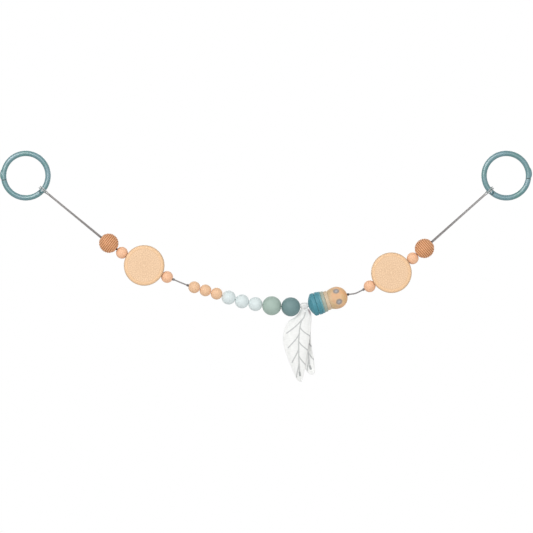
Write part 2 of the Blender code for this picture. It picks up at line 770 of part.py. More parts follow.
def make_wings(entry, leave):
    """Add the gathered sleeve round the cord and the two wings that hang from it."""
    centre, direction = seat(entry + SLEEVE_SPACE, leave - SLEEVE_SPACE)
    length = leave - entry - 2 * SLEEVE_SPACE
    edge = (SLEEVE - SLEEVE_BORE) * SLEEVE_EDGE_SHARE
    middle = (SLEEVE + SLEEVE_BORE) / 2
    profile = slice_profile(SLEEVE, length, edge, middle, SLEEVE_BORE, 2)
    turned("wing_sleeve", profile, 14, along(centre, direction), "cotton")
    make_wing("front_wing", centre, FRONT_WING, FRONT_BELLY, FRONT_SHARES, -1, 0.4)
    make_wing("rear_wing", centre, REAR_WING, REAR_BELLY, REAR_SHARES, 1, 2.1)


for old in list(bpy.data.objects):
    bpy.data.objects.remove(old)
chain = collection("Pram chain")
cutters = collection("Cutters")
cutters.hide_render = True

route_line = smooth_curve(ROUTE, ROUTE_SAMPLES)
route_length = lengths_along(route_line)
left_centre = route_at(0)
right_centre = route_at(route_length[-1])

places = string_places()
for name, (kind, entry, middle, leave) in places.items():
    if kind != "head":
        centre, direction = seat(entry, leave)
        make_bead(name, kind, centre, direction)

head_entry, head_leave = places["head"][1], places["head"][3]
make_dragonfly(head_entry, head_leave)
make_wings(places["slate_bead"][3], head_entry)
make_knot("left_outer_knot", places["left_inner_small_bead"][3], 1)
make_knot("left_inner_knot", places["natural_bead_1"][1], -1)
make_knot("right_inner_knot", head_leave, 1)
make_knot("right_outer_knot", places["right_inner_small_bead"][1], -1)

first_middle, last_middle = places["left_grooved_bead"][2], places["right_grooved_bead"][2]
make_main_cord(first_middle, last_middle)
make_sling("left_sling", left_centre, route_at(first_middle))
make_sling("right_sling", right_centre, route_at(last_middle))
make_ring("left", left_centre, LEFT_HINGE_AT, -1)
make_ring("right", right_centre, RIGHT_HINGE_AT, 1)
print(f"cord from ring centre to ring centre {route_length[-1] / MM:.1f} mm")
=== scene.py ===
# %% [markdown]
# # A pram chain toy: wooden beads, two discs and a cloth-winged dragonfly on one cord
#
# The chain is a string of small turned pieces between two plastic snap rings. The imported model
# gives every piece its place and its motion. This file gives each one its finished surface: twisted
# cord, stained and painted wood, engraved discs, glossy plastic and printed cotton.
#
# A turned piece is a profile swept round its own axis, a cord or a ring's bar is a small circle
# carried along a path, and a wing is a sheet worked out over two parameters. All of them are grids
# of points, so one helper that joins a grid with quads serves the whole object.

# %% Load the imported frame
import json
import math

import bmesh
import bpy
import numpy as np
from mathutils import Matrix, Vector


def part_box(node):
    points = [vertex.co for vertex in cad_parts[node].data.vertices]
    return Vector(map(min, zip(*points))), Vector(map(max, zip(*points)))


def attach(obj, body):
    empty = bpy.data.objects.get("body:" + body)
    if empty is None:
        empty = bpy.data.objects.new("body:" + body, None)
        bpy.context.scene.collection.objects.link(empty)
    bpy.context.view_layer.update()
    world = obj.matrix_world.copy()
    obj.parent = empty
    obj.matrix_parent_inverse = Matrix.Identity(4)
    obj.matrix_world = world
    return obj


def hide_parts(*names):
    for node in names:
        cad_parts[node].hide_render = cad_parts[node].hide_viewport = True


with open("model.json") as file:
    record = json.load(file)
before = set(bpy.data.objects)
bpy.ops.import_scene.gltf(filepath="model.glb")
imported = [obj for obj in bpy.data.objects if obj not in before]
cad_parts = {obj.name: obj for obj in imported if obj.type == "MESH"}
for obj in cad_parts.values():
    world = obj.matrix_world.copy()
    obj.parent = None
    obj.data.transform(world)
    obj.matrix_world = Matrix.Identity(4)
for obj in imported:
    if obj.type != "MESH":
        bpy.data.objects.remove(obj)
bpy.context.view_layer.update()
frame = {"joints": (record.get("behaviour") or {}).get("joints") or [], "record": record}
MM = 0.001
FRONT = np.array((0.0, -1.0, 0.0))
joints = {joint["name"]: joint for joint in frame["joints"]}
bodies = frame["record"]["behaviour"]["bodies"]
body_of_node = {node: body for body, nodes in bodies.items() for node in nodes}


def put_in_scene(name, data):
    """Make an object of a mesh, a lamp or a lens."""
    made = bpy.data.objects.new(name, data)
    bpy.context.scene.collection.objects.link(made)
    return made


# %% [markdown]
# ## Camera
#
# A product photographer stands far back with a long lens, so that a flat garland keeps its
# proportions from ring to ring. Six metres away is nearly a parallel view and still a real camera.

# %% Stand the camera in front of the garland
VIEW_WIDTH = 551.7 * MM
VIEW_X, VIEW_Z = 249.12 * MM, -94.08 * MM
CAMERA_AWAY = 6.0
SENSOR = 36.0

lens = bpy.data.cameras.new("camera")
lens.sensor_width = SENSOR
lens.lens = SENSOR * CAMERA_AWAY / VIEW_WIDTH
lens.clip_end = 50
camera = put_in_scene("camera", lens)
camera.location = (VIEW_X, -CAMERA_AWAY, VIEW_Z)
camera.rotation_euler = (math.radians(90), 0, 0)
bpy.context.scene.camera = camera
print("lens", round(lens.lens), "mm")

# %% [markdown]
# ## From a grid of points to a piece
#
# Every surface here is a grid: rows run along the piece and columns run round it. Neighbouring
# points are joined by quads, and the last column joins the first one where the surface closes.
# A material that follows the piece, such as wood grain, needs coordinates that belong to the piece
# and not to the room, so each mesh stores them in an attribute called "own": Z runs along the
# piece's axis, X points to the front.


# %% Join a grid of points with quads
def skin(name, grid, close_rows=False, close_columns=True, caps=False, merge=0, uv=None):
    """Make a mesh from points[row, column]: quad (i, j), (i, j+1), (i+1, j+1), (i+1, j).

    uv holds one value for each row and one for each column, counted past the closing one.
    """
    rows, columns = grid.shape[:2]
    index = np.arange(rows * columns).reshape(rows, columns)
    index = np.vstack([index, index[:1]]) if close_rows else index
    index = np.hstack([index, index[:, :1]]) if close_columns else index
    quads = np.stack([index[:-1, :-1], index[:-1, 1:], index[1:, 1:], index[1:, :-1]], axis=-1)
    faces = quads.reshape(-1, 4).tolist()
    if caps:
        faces += [index[0, :columns].tolist(), index[-1, :columns].tolist()]
    mesh = bpy.data.meshes.new(name)
    mesh.from_pydata(grid.reshape(-1, 3), [], faces)
    if uv is not None:
        i, j = np.indices(quads.shape[:2])
        along = np.stack([uv[0][i], uv[0][i], uv[0][i + 1], uv[0][i + 1]], axis=-1)
        around = np.stack([uv[1][j], uv[1][j + 1], uv[1][j + 1], uv[1][j]], axis=-1)
        values = np.zeros((len(mesh.loops), 2))
        values[: along.size] = np.stack([along.ravel(), around.ravel()], axis=-1)
        mesh.uv_layers.new(name="UVMap").data.foreach_set("uv", values.ravel())
    return cleaned(mesh, merge, outwards=True)


def cleaned(mesh, merge, outwards=False):
    """Merge points closer than a distance, turn the faces outwards if asked, and shade smooth."""
    work = bmesh.new()
    work.from_mesh(mesh)
    if merge:
        bmesh.ops.remove_doubles(work, verts=work.verts, dist=merge)
    if outwards:
        bmesh.ops.recalc_face_normals(work, faces=work.faces)
    work.to_mesh(mesh)
    work.free()
    mesh.shade_smooth()
    return mesh


# %% Helpers for whole arrays
def round_axis(centre, axes, radius, angle, height):
    """Points c + r cos a X + r sin a Y + h Z, for whole arrays of r, a and h."""
    parts = np.broadcast_arrays(radius * np.cos(angle), radius * np.sin(angle), height)
    return centre + np.stack(parts, axis=-1) @ axes


def full_turn(steps):
    """Even angles of one whole turn, without the closing one."""
    return np.linspace(0, math.tau, steps, endpoint=False)


def clamp(value):
    """Hold a value between 0 and 1."""
    return np.clip(value, 0, 1)


def eased(share):
    """3 s^2 - 2 s^3: from 0 to 1 with a soft start and end."""
    share = clamp(share)
    return 3 * share**2 - 2 * share**3


def norms(rows):
    """Length of each row."""
    return np.linalg.norm(rows, axis=1)


# %% Seat a piece on its own axis
def points_of(mesh):
    """Return the mesh's points as an array of (x, y, z)."""
    flat = np.zeros(len(mesh.vertices) * 3)
    mesh.vertices.foreach_get("co", flat)
    return flat.reshape(-1, 3)


def store(mesh, name, values):
    """Keep one number or one vector for each point under a name that a material can read."""
    kind, field = ("FLOAT", "value") if values.ndim == 1 else ("FLOAT_VECTOR", "vector")
    kept = mesh.attributes.new(name, kind, "POINT")
    kept.data.foreach_set(field, np.ascontiguousarray(values).ravel())


def own_axes(direction):
    """Return rows X, Y, Z of a piece: Z along its bore, X to the front, Y = Z cross X."""
    z_axis = np.array(direction) / np.linalg.norm(direction)
    return np.array((FRONT, np.cross(z_axis, FRONT), z_axis))


def own_place(mesh, centre, axes):
    """Return the mesh's points as the piece sees them: (point - centre) . axes."""
    return (points_of(mesh) - np.array(centre)) @ axes.T


def seat_of(node):
    """Return the centre and the axes of the piece that spins on a joint of its own."""
    joint = joints[node + "_spin"]
    return np.array(joint["pos_m"]), own_axes(joint["axis"])


def finish_piece(name, mesh, finish, node, centre=(0, 0, 0), axes=np.eye(3)):
    """Store the mesh's own coordinates, give it its material, and put it in its node's place."""
    store(mesh, "own", own_place(mesh, centre, axes))
    mesh.materials.append(finish.material)
    piece = put_in_scene(name, mesh)
    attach(piece, body_of_node[node])
    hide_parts(node)
    return piece


# %% [markdown]
# ## A kit for finishes
#
# Each finish is a small node tree on one Principled shader. A finish also remembers its colour and
# its relief so far: each tint goes over the colour, and each relief goes on top of the last.


# %% Add nodes in one line
class Nodes:
    """A node tree, and short ways to add to it. Each gives a socket that the next one can take."""

    def __init__(self, tree):
        self.tree = tree

    def fill(self, node, values):
        """Give each input of a node its number or colour, or connect it."""
        for key, value in dict(values).items():
            target = node.inputs[key]
            if isinstance(value, bpy.types.NodeSocket):
                self.tree.links.new(value, target)
            else:
                target.default_value = (*value, 1) if target.type == "RGBA" else value
        return node

    def add(self, kind, values=(), **settings):
        """Add a node, set its options and fill its inputs."""
        made = self.tree.nodes.new("ShaderNode" + kind)
        for key, value in settings.items():
            setattr(made, key, value)
        return self.fill(made, values)

    def math(self, operation, first, second=0.0, third=0.0, clamp=False):
        """One step of arithmetic."""
        values = {0: first, 1: second, 2: third}
        return self.add("Math", values, operation=operation, use_clamp=clamp).outputs[0]

    def times(self, first, second):
        """first x second."""
        return self.math("MULTIPLY", first, second)

    def line(self, value, slope, start, clamp=True):
        """value x slope + start, held between 0 and 1 unless clamp is off."""
        return self.math("MULTIPLY_ADD", value, slope, start, clamp)

    def stored(self, name, output="Fac"):
        """What the mesh stores under a name."""
        return self.add("Attribute", attribute_name=name).outputs[output]

    def in_object(self):
        """The point in the object's own space."""
        return self.add("TexCoord").outputs["Object"]

    def parts(self, vector):
        """The three numbers of a vector."""
        return self.add("SeparateXYZ", {0: vector}).outputs

    def reach(self, vector, axes=(1, 1, 0)):
        """Length of the vector along two axes: the distance from the third one."""
        flat = self.add("VectorMath", {0: vector, 1: axes}, operation="MULTIPLY").outputs[0]
        return self.add("VectorMath", {0: flat}, operation="LENGTH").outputs["Value"]

    def noise(self, vector, scale, detail=2.0, stretch=None, distortion=0.0):
        """Cloudy noise, drawn out along the axes whose stretch is small."""
        if stretch:
            vector = self.add("Mapping", {0: vector, "Scale": stretch}).outputs[0]
        values = {"Vector": vector, "Scale": scale, "Detail": detail, "Distortion": distortion}
        return self.add("TexNoise", values).outputs[0]

    def ramp(self, value, *stops):
        """A colour that runs through (position, colour) stops as the value rises."""
        made = self.add("ValToRGB", {0: value})
        while len(made.color_ramp.elements) < len(stops):
            made.color_ramp.elements.new(0.5)
        for element, (position, colour) in zip(made.color_ramp.elements, stops):
            element.position = position
            element.color = (*colour, 1)
        return made.outputs[0]

    def blend(self, share, first, second, how="MIX"):
        """first turning into second as the share goes from 0 to 1."""
        values = {0: share, 6: first, 7: second}
        return self.add("Mix", values, data_type="RGBA", blend_type=how).outputs[2]


# %% A finish remembers its colour and its relief
class Finish(Nodes):
    """A material with one Principled shader. Other sockets of the shader are given by name."""

    def __init__(self, name, roughness, **sockets):
        self.material = bpy.data.materials.new(name)
        self.material.use_nodes = True
        super().__init__(self.material.node_tree)
        self.shader = self.tree.nodes["Principled BSDF"]
        self.normal = None
        self.shade(Roughness=roughness, **sockets)

    def shade(self, **sockets):
        """Fill the shader's sockets; Sheen_Weight stands for Sheen Weight."""
        self.fill(self.shader, {key.replace("_", " "): value for key, value in sockets.items()})

    def paint(self, colour):
        """Take a new colour."""
        self.colour = colour
        self.shade(Base_Color=colour)

    def tint(self, share, over, how="MIX"):
        """Lay a colour over the one so far."""
        self.paint(self.blend(share, self.colour, over, how))

    def relief(self, height, depth, invert=False):
        """Press a height into the surface, depth metres deep at full height."""
        values = {"Height": height, "Distance": depth, "Strength": 1.0}
        bump = self.add("Bump", values, invert=invert)
        if self.normal:
            self.fill(bump, {"Normal": self.normal})
        self.normal = bump.outputs[0]
        self.shade(Normal=self.normal)


# %% [markdown]
# ## Cord
#
# The cord is three plies twisted together. A plain tube would look like wire, so the section is a
# circle with three grooves that turn as it moves along the path. The middle of the chain hangs on
# one strand. At each end the cord is doubled: it leaves the grooved bead, takes a round turn on the
# ring's bar and comes back close beside itself.

# %% Cord finish
# scale, detail and stretch of a noise
FUZZ = (1.6, 5.0, (900, 14, 1))
FUZZ_DEPTH = 0.06 * MM

cord_cotton = Finish("cord_cotton", 0.85, Sheen_Weight=0.25)
cord_uv = cord_cotton.add("UVMap", uv_map="UVMap").outputs[0]
fuzz = cord_cotton.noise(cord_uv, *FUZZ)
lay = cord_cotton.stored("groove")
cord_cotton.paint(cord_cotton.ramp(
    fuzz, (0.3, (0.248, 0.233, 0.230)), (0.75, (0.392, 0.372, 0.367))
))
# painted shade: the grooves between the plies are darker
cord_cotton.tint(lay, (0.130, 0.118, 0.116))
# the cord is painted paler and greener where it lies on the ring's bar
cord_cotton.tint(cord_cotton.stored("paler_on_bar"), (0.50, 0.56, 0.56))
# painted shade by the beads and at the knots, over a darker tone all along the cord
cord_cotton.tint(cord_cotton.stored("dark_tone_and_shade"), (0.055, 0.034, 0.024))
cord_cotton.relief(cord_cotton.math("SUBTRACT", fuzz, lay), FUZZ_DEPTH)
print("cord finish:", len(cord_cotton.tree.nodes), "nodes")

# %% Carry a three-ply section along a path
STRAND = 1.1 * MM
LAY_LENGTH = 3.4 * MM
PLIES = 3
PLY_GROOVE_SHARE = 0.17
SECTION_SIDES = 24
PATH_STEP = 0.36 * MM


def lengths_along(path):
    """Return the length from the path's start to each of its points."""
    return np.concatenate([[0], np.cumsum(norms(np.diff(path, axis=0)))])


def even_path(path, step):
    """Return the path at even steps of its length."""
    place = lengths_along(path)
    even = np.linspace(0, place[-1], max(8, round(place[-1] / step)))
    return np.stack([np.interp(even, place, axis) for axis in np.transpose(path)], axis=1), even


def twisted_cord(name, path, upright, step=PATH_STEP, dark_tone_and_shade=None, paler_on_bar=None, swell=None):
    """Sweep a grooved circle along a path.

    Section radius: r(a, s) = R (1 - g (1 - |cos(n b / 2)|)), b = a - 2 pi s / lay, for n plies.
    The frame is N = the upright made square to the tangent T, and B = T cross N. The painted
    shade over a darker tone, the paler share on the ring's bar and the swelling of R are functions
    of the centre line's points.
    """
    centre, place = even_path(path, step)
    tangent = np.gradient(centre, axis=0)
    tangent /= norms(tangent)[:, None]
    normal = upright - (tangent @ upright)[:, None] * tangent
    normal /= norms(normal)[:, None]
    angle = full_turn(SECTION_SIDES)
    turned = angle - math.tau * place[:, None] / LAY_LENGTH
    groove = 1 - np.abs(np.cos(PLIES * turned / 2))
    radius = STRAND / 2 * (1 - PLY_GROOVE_SHARE * groove)
    if swell is not None:
        radius = radius * swell(centre)[:, None]
    axes = np.stack([normal, np.cross(tangent, normal), tangent], axis=1)
    grid = round_axis(centre[:, None], axes, radius, angle, 0.0)
    mesh = skin(name, grid, caps=True, uv=(place, np.linspace(0, 1, SECTION_SIDES + 1)))
    store(mesh, "groove", clamp(groove.ravel()) ** 3)
    for share_name, share in (("dark_tone_and_shade", dark_tone_and_shade), ("paler_on_bar", paler_on_bar)):
        shares = np.zeros(len(centre)) if share is None else share(centre)
        store(mesh, share_name, np.repeat(shares, SECTION_SIDES))
    return mesh


# %% The route of the strand
def smooth_curve(points, samples):
    """Run cubic spans through points, each tangent the mean of its two chords' directions."""
    points = np.asarray(points, float)
    chord = norms(np.diff(points, axis=0))[:, None]
    slope = np.diff(points, axis=0) / chord
    inner = (slope[:-1] * chord[1:] + slope[1:] * chord[:-1]) / (chord[1:] + chord[:-1])
    tangent = np.vstack([slope[:1], inner, slope[-1:]])
    t = np.linspace(0, 1, samples, endpoint=False)[None, :, None]
    spans = (
        (2 * t**3 - 3 * t**2 + 1) * points[:-1, None]
        + (t**3 - 2 * t**2 + t) * (tangent[:-1] * chord)[:, None]
        + (3 * t**2 - 2 * t**3) * points[1:, None]
        + (t**3 - t**2) * (tangent[1:] * chord)[:, None]
    )
    return np.vstack([spans.reshape(-1, points.shape[1]), points[-1:]])


ROUTE = [
    (0, 0), (0.0300, -0.02455), (0.0600, -0.0491), (0.0750, -0.06137),
    (0.0858, -0.0704), (0.0998, -0.0800), (0.1040, -0.0830), (0.1132, -0.0883),
    (0.1224, -0.0934), (0.1316, -0.0983), (0.1407, -0.1028), (0.1461, -0.1049),
    (0.1535, -0.1078), (0.1615, -0.1112), (0.1680, -0.1137), (0.1743, -0.1156),
    (0.1860, -0.1188), (0.1973, -0.1220), (0.2098, -0.1262), (0.2233, -0.1302),
    (0.2374, -0.1331), (0.2543, -0.1347), (0.2740, -0.1359), (0.2845, -0.1362),
    (0.2920, -0.1353), (0.3000, -0.1331), (0.3107, -0.1298), (0.3214, -0.1265),
    (0.3322, -0.1232), (0.3370, -0.1226), (0.3412, -0.1219), (0.3452, -0.1201),
    (0.3500, -0.1176), (0.3561, -0.1147), (0.3668, -0.1081), (0.3782, -0.1010),
    (0.3893, -0.0936), (0.4001, -0.0860), (0.4122, -0.0758), (0.4230, -0.0661),
    (0.4400, -0.0510), (0.4700, -0.0243), (0.4973, 0),
]
STRAND_START = 110.95 * MM
STRAND_END = 467.65 * MM

route = smooth_curve(ROUTE, 24)
route_place = lengths_along(route)


def route_at(place):
    """Return the points of the route at lengths from its start, in the plane y = 0."""
    x, z = (np.interp(place, route_place, axis) for axis in route.T)
    return np.stack([x, np.zeros_like(x), z], axis=-1)


strand_path = route_at(np.linspace(STRAND_START, STRAND_END, 900))
print("strand", round(lengths_along(strand_path)[-1] / MM, 1), "mm")

# %% The strand that every bead hangs on
# painted shade by the beads, over a darker tone all along the cord
SHADE_AND_SWELL_REACH = 1.0 * MM
SHADE_BY_BEAD, TONE_BETWEEN = 0.9, 0.12
BARE_SWELL_SHARE = 0.45
BARE_STRETCHES = ((153.0 * MM, 167.4 * MM), (333.8 * MM, 349.4 * MM))
DRAWN_IN = [(side + "_grooved_bead", side + "_outer_small_bead") for side in ("left", "right")]
DRAWN_IN_SHARE = 1.3
DRAWN_IN_REACH = 0.8 * MM


def shade_by_beads_over_tone(points):
    """Painted shade of 0.9 (1 - away / reach) from the nearest bead's ball, over at least 0.12 all
    along.
    """
    dark = np.zeros(len(points))
    for joint in joints.values():
        if joint["name"].endswith("_spin") and "disc" not in joint["name"]:
            low, high = map(np.array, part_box(joint["name"][: -len("_spin")]))
            away = norms(points - joint["pos_m"]) - (high - low)[1] / 2
            dark = np.maximum(dark, clamp(1 - away / SHADE_AND_SWELL_REACH) * (away > -SHADE_AND_SWELL_REACH))
    return np.maximum(SHADE_BY_BEAD * dark, TONE_BETWEEN)


def swelling(points):
    """Thicker where nothing squeezes the cord; a small knot, drawn into two mouths, as a bell."""
    full, knot = np.zeros(len(points)), np.zeros(len(points))
    for start, end in BARE_STRETCHES:
        inside = np.minimum(points[:, 0] - start, end - points[:, 0]) / SHADE_AND_SWELL_REACH
        full = np.maximum(full, clamp(inside))
    for pair in DRAWN_IN:
        ends = [np.array(joints[node + "_spin"]["pos_m"]) for node in pair]
        sizes = [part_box(node)[1][1] for node in pair]
        middle = ends[0] + (ends[1] - ends[0]) * sizes[0] / sum(sizes)
        away = norms(points - middle) / DRAWN_IN_REACH
        knot = np.maximum(knot, np.exp(-(away**4)))
    return 1 + BARE_SWELL_SHARE * full + DRAWN_IN_SHARE * knot


strand_mesh = twisted_cord("strand", strand_path, FRONT, dark_tone_and_shade=shade_by_beads_over_tone, swell=swelling)
strand = finish_piece("strand", strand_mesh, cord_cotton, "main_cord")
print("strand", len(strand_mesh.polygons), "faces")

# %% The path of a doubled cord
RING_RADIUS = 23.0 * MM
RING_BAR = 5.7 * MM
CLEARANCE = 0.3 * MM
PAIR_SPACING = 1.62 * MM
ROUND_TURN_PITCH = 1.85 * MM
ROUND_TURN_SLACK = 0.7 * MM
SLING_SPREAD = 13.0 * MM
SLING_SIDE_SPREAD = 8.0 * MM
SLING_LEAN = math.radians(-46)
WRAP_TURNS = 1.5
BEAD_MIDDLES = {"left": 110.8 * MM, "right": 467.80 * MM}
RING_CENTRES = {"left": np.zeros(3), "right": np.array((497.3 * MM, 0, 0))}


def sling_path(centre, bead):
    """Two legs, one behind the other and leaning aside by w, joined by a round turn on the bar.

    A leg is c + s o + p/2 (cos w f + sin w d), with o towards the bead, f the front, d their cross.
    """
    out = (bead - centre) / np.linalg.norm(bead - centre)
    side = np.cross(out, FRONT)
    bar = centre + out * RING_RADIUS
    wrap = RING_BAR / 2 + CLEARANCE + STRAND / 2
    drift = WRAP_TURNS * ROUND_TURN_PITCH / 2
    far = np.linalg.norm(bead - centre) - RING_RADIUS - CLEARANCE / 2
    run = np.linspace(far, 0, 160)[:, None]
    ease, side_ease = eased(run / SLING_SPREAD), eased(run / SLING_SIDE_SPREAD)
    ahead = wrap * (1 - ease) + PAIR_SPACING / 2 * math.cos(SLING_LEAN) * ease
    aside = PAIR_SPACING / 2 * math.sin(SLING_LEAN) * side_ease - drift * (1 - side_ease)
    legs = [bar + run * out + way * (ahead * FRONT + aside * side) for way in (1, -1)]
    angle = np.linspace(0, WRAP_TURNS * math.tau, 120)[1:-1]
    reach = wrap + ROUND_TURN_SLACK * clamp(np.sin(angle)) ** 2
    across = drift * (2 * angle / (WRAP_TURNS * math.tau) - 1)
    turns = round_axis(bar, np.array((FRONT, -out, side)), reach, angle, across)
    return np.vstack([legs[0], turns, legs[1][::-1]]), side


# %% The doubled cord at each ring
# how much paler and greener the cord is on the ring's bar, and how far that reaches
PALER_SHARE, PALER_REACH = 0.75, 4.0 * MM
FULLER_SHARE = 0.3
FULLER_FROM, FULLER_TO = 12.0 * MM, 54.0 * MM
BEAD_INSIDE, BEAD_RIM = 9.5 * MM, 2.5 * MM


for end_name, ring_centre in RING_CENTRES.items():
    bead_centre = route_at(BEAD_MIDDLES[end_name])
    sling_line, sling_side = sling_path(ring_centre, bead_centre)

    def paler_on_ring(points):
        """Most on the ring's bar, falling to 0 within 4 mm of it."""
        away = norms(points - ring_centre) - RING_RADIUS - RING_BAR / 2
        return PALER_SHARE * clamp(1 - away / PALER_REACH)

    def fuller_by_bead(points):
        """1 by the ring, rising to 1.3 just outside the grooved bead, and 1 again inside it."""
        away = norms(points - bead_centre)
        near = clamp((FULLER_TO - away) / (FULLER_TO - FULLER_FROM))
        return 1 + FULLER_SHARE * near * clamp((away - BEAD_INSIDE) / BEAD_RIM)

    sling_name = end_name + "_doubled_cord"
    sling_mesh = twisted_cord(
        sling_name, sling_line, sling_side, dark_tone_and_shade=shade_by_beads_over_tone, paler_on_bar=paler_on_ring,
        swell=fuller_by_bead,
    )
    sling = finish_piece(sling_name, sling_mesh, cord_cotton, end_name + "_sling")
    print(sling_name, round(lengths_along(sling_line)[-1] / MM, 1), "mm")

# %% [markdown]
# ## Stopper knots
#
# A knot on each side of a bare stretch keeps the beads where they are. Each is the same cord,
# wound two and a half times round itself and drawn tight, with its ends tucked in.

# %% Wind the four knots
KNOT_RADIUS = 0.9 * MM
KNOT_PITCH = 1.12 * MM
KNOT_STEP = 0.25 * MM
KNOT_TURNS = 1.25
COILED_TURNS = 0.75
TUCKED_IN = 0.35
TOWARDS_BEAD = 0.45 * MM

# each knot is painted darker, as the shade beside its bead
for node, middle, heading, way, knot_shade in (
    ("left_outer_knot", (152.980, 0, -107.593), (0.92710, 0, -0.37481), -1, 0.25),
    ("left_inner_knot", (167.420, 0, -113.488), (0.94321, 0, -0.33220), 1, 0.6),
    ("right_inner_knot", (333.799, 0, -122.984), (0.99270, 0, 0.12063), -1, 0.9),
    ("right_outer_knot", (349.389, 0, -117.923), (0.88882, 0, 0.45826), 1, 0.4),
):
    knot_axes = own_axes(heading)
    knot_centre = np.array(middle) * MM + way * TOWARDS_BEAD * knot_axes[2]
    turn = np.linspace(-KNOT_TURNS, KNOT_TURNS, 110)
    rise = np.clip(turn, -COILED_TURNS, COILED_TURNS) * KNOT_PITCH
    # the last quarter turn at each end tucks in towards the strand
    radius = KNOT_RADIUS * (1 - TUCKED_IN * clamp(np.abs(turn) - 1) * 4)
    knot_path = round_axis(knot_centre, knot_axes, radius, turn * math.tau, rise)

    def even_shade(points):
        """The same painted shade all over a knot."""
        return np.full(len(points), knot_shade)

    knot_mesh = twisted_cord(node + "_coil", knot_path, knot_axes[2], KNOT_STEP, dark_tone_and_shade=even_shade)
    finish_piece(node + "_coil", knot_mesh, cord_cotton, node)

# %% [markdown]
# ## Wood
#
# The beads are beech or a wood like it. Grain runs along the bore, because a bead is turned from a
# rod: broad soft bands of tone with short fine flecks between them. A stain or a paint covers the
# grain to some degree, so one recipe serves all of the wood, with the cover as a number. The brush
# never reached the mouth of the bore; the bare wood there has gone dark from the cord, and it is
# painted darker still as the shade inside the bore.

# %% A recipe for stained and painted wood
MOUTH_RADIUS = 1.9 * MM
# dirty bare wood and the painted shade inside a bore's mouth
BORE_DIRT_AND_SHADE = (0.22, 0.125, 0.07)
# scale, detail, stretch and distortion of each noise
BANDS = (380.0, 3.0, (1, 1, 0.16), 0.6)
FLECKS = (3200.0, 2.0, (1, 1, 0.09))
BLOTCHES = (160.0, 2.0)
# how much darker each makes the colour
FLECK_TONE, BLOTCH_TONE = 0.62, 0.9
GRAIN_DEPTH = 0.05 * MM


def toned(colour, share):
    """The colour made darker: each channel times the share."""
    return tuple(channel * share for channel in colour)


def wood_finish(name, colour, cover, roughness, deeper=0.82, bore=MOUTH_RADIUS, grain=1.0):
    """Tone = colour x (deeper .. 1) by bands and flecks; cover hides them; the bore is dark with
    dirt and painted shade.
    """
    wood = Finish(name, roughness, Specular_IOR_Level=0.2)
    wood.own = wood.stored("own", "Vector")
    bands, flecks, blotch = (wood.noise(wood.own, *kind) for kind in (BANDS, FLECKS, BLOTCHES))
    fleck = wood.math("MULTIPLY", wood.math("SUBTRACT", flecks, 0.56), 6.0, clamp=True)
    shade = wood.line(bands, 1.0 - cover, cover * 0.5, clamp=False)
    wood.paint(wood.ramp(shade, (0.25, toned(colour, deeper)), (0.75, colour)))
    wood.tint(wood.times(fleck, 0.45 * (1.0 - cover)), toned(colour, FLECK_TONE))
    wood.tint(wood.line(blotch, 0.5, -0.15), toned(colour, BLOTCH_TONE))
    if bore:
        # dirt and painted shade: the bore's mouth is dark brown
        wood.tint(wood.math("LESS_THAN", wood.reach(wood.own), bore), BORE_DIRT_AND_SHADE)
    wood.shade(Roughness=wood.line(blotch, 0.16, roughness - 0.08, clamp=False))
    height = wood.math("MULTIPLY_ADD", bands, 0.4, wood.times(fleck, -0.6))
    wood.relief(height, GRAIN_DEPTH * grain * (1.2 - cover))
    return wood


peach_wood = wood_finish("peach_wood", (0.94, 0.555, 0.345), 0.55, 0.5)
natural_wood = wood_finish("natural_wood", (0.86, 0.555, 0.345), 0.2, 0.5, deeper=0.86)
pale_blue_paint = wood_finish("pale_blue_paint", (0.74, 0.82, 0.82), 0.85, 0.55)
sage_paint = wood_finish("sage_paint", (0.405, 0.52, 0.46), 0.8, 0.55)
slate_paint = wood_finish("slate_paint", (0.180, 0.289, 0.294), 0.8, 0.55)
print("five wood finishes,", len(peach_wood.tree.nodes), "nodes each")

# %% [markdown]
# ## Turned beads
#
# A lathe cuts a profile while the bead spins, and the same profile makes the mesh: a closed loop of
# (distance from the axis, height along it) swept round the bore. The bore is part of the loop, so
# the bead is hollow where the cord runs. Tools leave no perfect edge, so each corner is eased.


# %% Profiles
def arc(centre, radius, start, stop, count):
    """Points c + r (sin a, cos a), with a in degrees from the axis."""
    angle = np.radians(np.linspace(start, stop, count))
    across, up = centre[0] + radius * np.sin(angle), centre[1] + radius * np.cos(angle)
    return np.stack([across, up], axis=1)


def rounded_rim(radius, half, edge, count=12):
    """The two quarter arcs of a rim that is 2 half high, with edges rounded by a radius."""
    inner = radius - edge
    upper = arc((inner, half - edge), edge, 0, 90, count)
    return np.vstack([upper, arc((inner, edge - half), edge, 90, 180, count)])


def ease_corners(profile, reach, steps=5, sharp=22):
    """Turn each sharp corner P into the parabola (1-t)^2 A + 2t(1-t) P + t^2 B near it."""
    before, after = np.roll(profile, 1, 0) - profile, np.roll(profile, -1, 0) - profile
    back, ahead = norms(before), norms(after)
    cosine = -(before * after).sum(1) / (back * ahead)
    t = np.linspace(0, 1, steps)[:, None]
    eased_points = []
    for i, corner in enumerate(profile):
        if cosine[i] > math.cos(math.radians(sharp)):
            eased_points.append(corner[None])
            continue
        a = corner + before[i] * min(reach / back[i], 0.45)
        b = corner + after[i] * min(reach / ahead[i], 0.45)
        eased_points.append((1 - t) ** 2 * a + 2 * t * (1 - t) * corner + t**2 * b)
    return np.vstack(eased_points)


def bored(outer, bore, easing, **more):
    """Close an outer profile with the bore's wall and a chamfer at each mouth, and ease it."""
    (first_r, first_z), (last_r, last_z) = outer[0], outer[-1]
    reach = bore / 2
    low, high = last_z + last_r - reach, first_z - first_r + reach
    inner = np.array([(reach, low), (reach, 0), (reach, high)])
    return ease_corners(np.vstack([outer, inner]), easing, **more)


